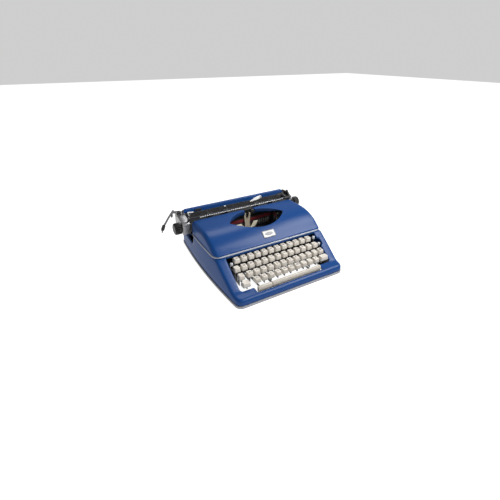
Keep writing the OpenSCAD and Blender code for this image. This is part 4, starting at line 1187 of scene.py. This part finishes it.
rb, rl = ribbon_piece()
rib = put(rb, "ribbon_tape", "frame", [M["ribbon_red"], M["ribbon_black"]], "ribbon", 50)
for s, nm in ((-1, "left"), (1, "right")):
    pack = lathe([(77.7, 16.7), (78.6, 17.2), (80, 17.0), (83, 17.25), (86, 17.1), (89, 17.25), (91.8, 17.0), (92.6, 17.2), (92.9, 16.7)], (s * 92, 4), "Z", 64)
    put(pack, "ribbon_pack_" + nm, "spool_" + nm, M["ribbon_red"])

# ---------------------------------------------------------------- floor and light
bpy.ops.mesh.primitive_plane_add(size=14, location=(0, 0, -0.0004))
floor = bpy.context.object
floor.name = "floor"
fm, fnt, fb, fco = tree("pale_floor")
sep = fnt.nodes.new("ShaderNodeSeparateXYZ")
fnt.links.new(fco, sep.inputs[0])


def shade_patch(x, y):
    """1 inside a soft-edged rectangle on the floor, 0 outside; x and y are (middle, half size)."""
    out = None
    for i, (mid, half) in enumerate((x, y)):
        d = mul(fnt, sep.outputs[i], -mid, "ADD")
        a = fnt.nodes.new("ShaderNodeMath")
        a.operation = "ABSOLUTE"
        fnt.links.new(d, a.inputs[0])
        k = remap(fnt, a.outputs[0], half - 0.004, half + 0.004, 1.0, 0.0)
        out = k if out is None else mul(fnt, out, k)
    return out


# painted shade: the floor inside the rim, which only shows through the machine, is made dark and does not glow there
under = mul(fnt, shade_patch((0.0, 0.146), (0.0525, 0.1125)), shade_patch((0.132, 0.014), (-0.104, 0.048)), "MAXIMUM")
pale = mix(fnt, noise(fnt, fco, 3, 2), (0.31, 0.31, 0.31), (0.33, 0.33, 0.33))
fcol = mix(fnt, under, pale, (0.02, 0.02, 0.02))
fnt.links.new(fcol, fb.inputs["Base Color"])
fb.inputs["Roughness"].default_value = 0.85
fb.inputs["Specular IOR Level"].default_value = 0.1
fb.inputs["Emission Color"].default_value = (1, 1, 1, 1)
fnt.links.new(remap(fnt, under, 0.0, 1.0, 0.94, 0.0), fb.inputs["Emission Strength"])
floor.data.materials.append(fm)

world = bpy.data.worlds.new("studio")
scene.world = world
world.use_nodes = True
wt = world.node_tree
bg = wt.nodes["Background"]
wsep = wt.nodes.new("ShaderNodeSeparateXYZ")
wt.links.new(wt.nodes.new("ShaderNodeTexCoord").outputs["Generated"], wsep.inputs[0])
ramp = wt.nodes.new("ShaderNodeValToRGB")
wt.links.new(wsep.outputs[2], ramp.inputs[0])
ramp.color_ramp.interpolation = "EASE"
stops = [(0.0, 0.62), (0.26, 0.62), (0.50, 0.42), (0.62, 0.22), (0.78, 0.12), (1.0, 0.12)]
while len(ramp.color_ramp.elements) < len(stops):
    ramp.color_ramp.elements.new(0.5)
for e, (at, v) in zip(ramp.color_ramp.elements, stops):
    e.position = at
    e.color = (v, v, v, 1)
wt.links.new(ramp.outputs[0], bg.inputs[0])
bg.inputs[1].default_value = 1.0


def softbox(name, place, target, w, h, power, colour=(1, 1, 1)):
    l = bpy.data.lights.new(name, "AREA")
    l.shape = "RECTANGLE"
    l.size, l.size_y = w, h
    l.energy = power
    l.color = colour
    o = bpy.data.objects.new(name, l)
    scene.collection.objects.link(o)
    o.location = place
    o.rotation_mode = "QUATERNION"
    o.rotation_quaternion = (Vector(target) - Vector(place)).to_track_quat("-Z", "Y")
    return o


softbox("front_right_high", (0.78, -0.44, 1.25), (0, -0.03, 0.08), 1.3, 0.6, 30)
softbox("rear_right_high", (0.44, 0.82, 1.28), (-0.10, -0.02, 0.11), 0.5, 0.5, 5)
softbox("behind_camera", (-0.9, -1.5, 1.3), (0, 0, 0.08), 1.0, 0.7, 3)

scene.view_settings.view_transform = "Standard"
scene.view_settings.look = "None"
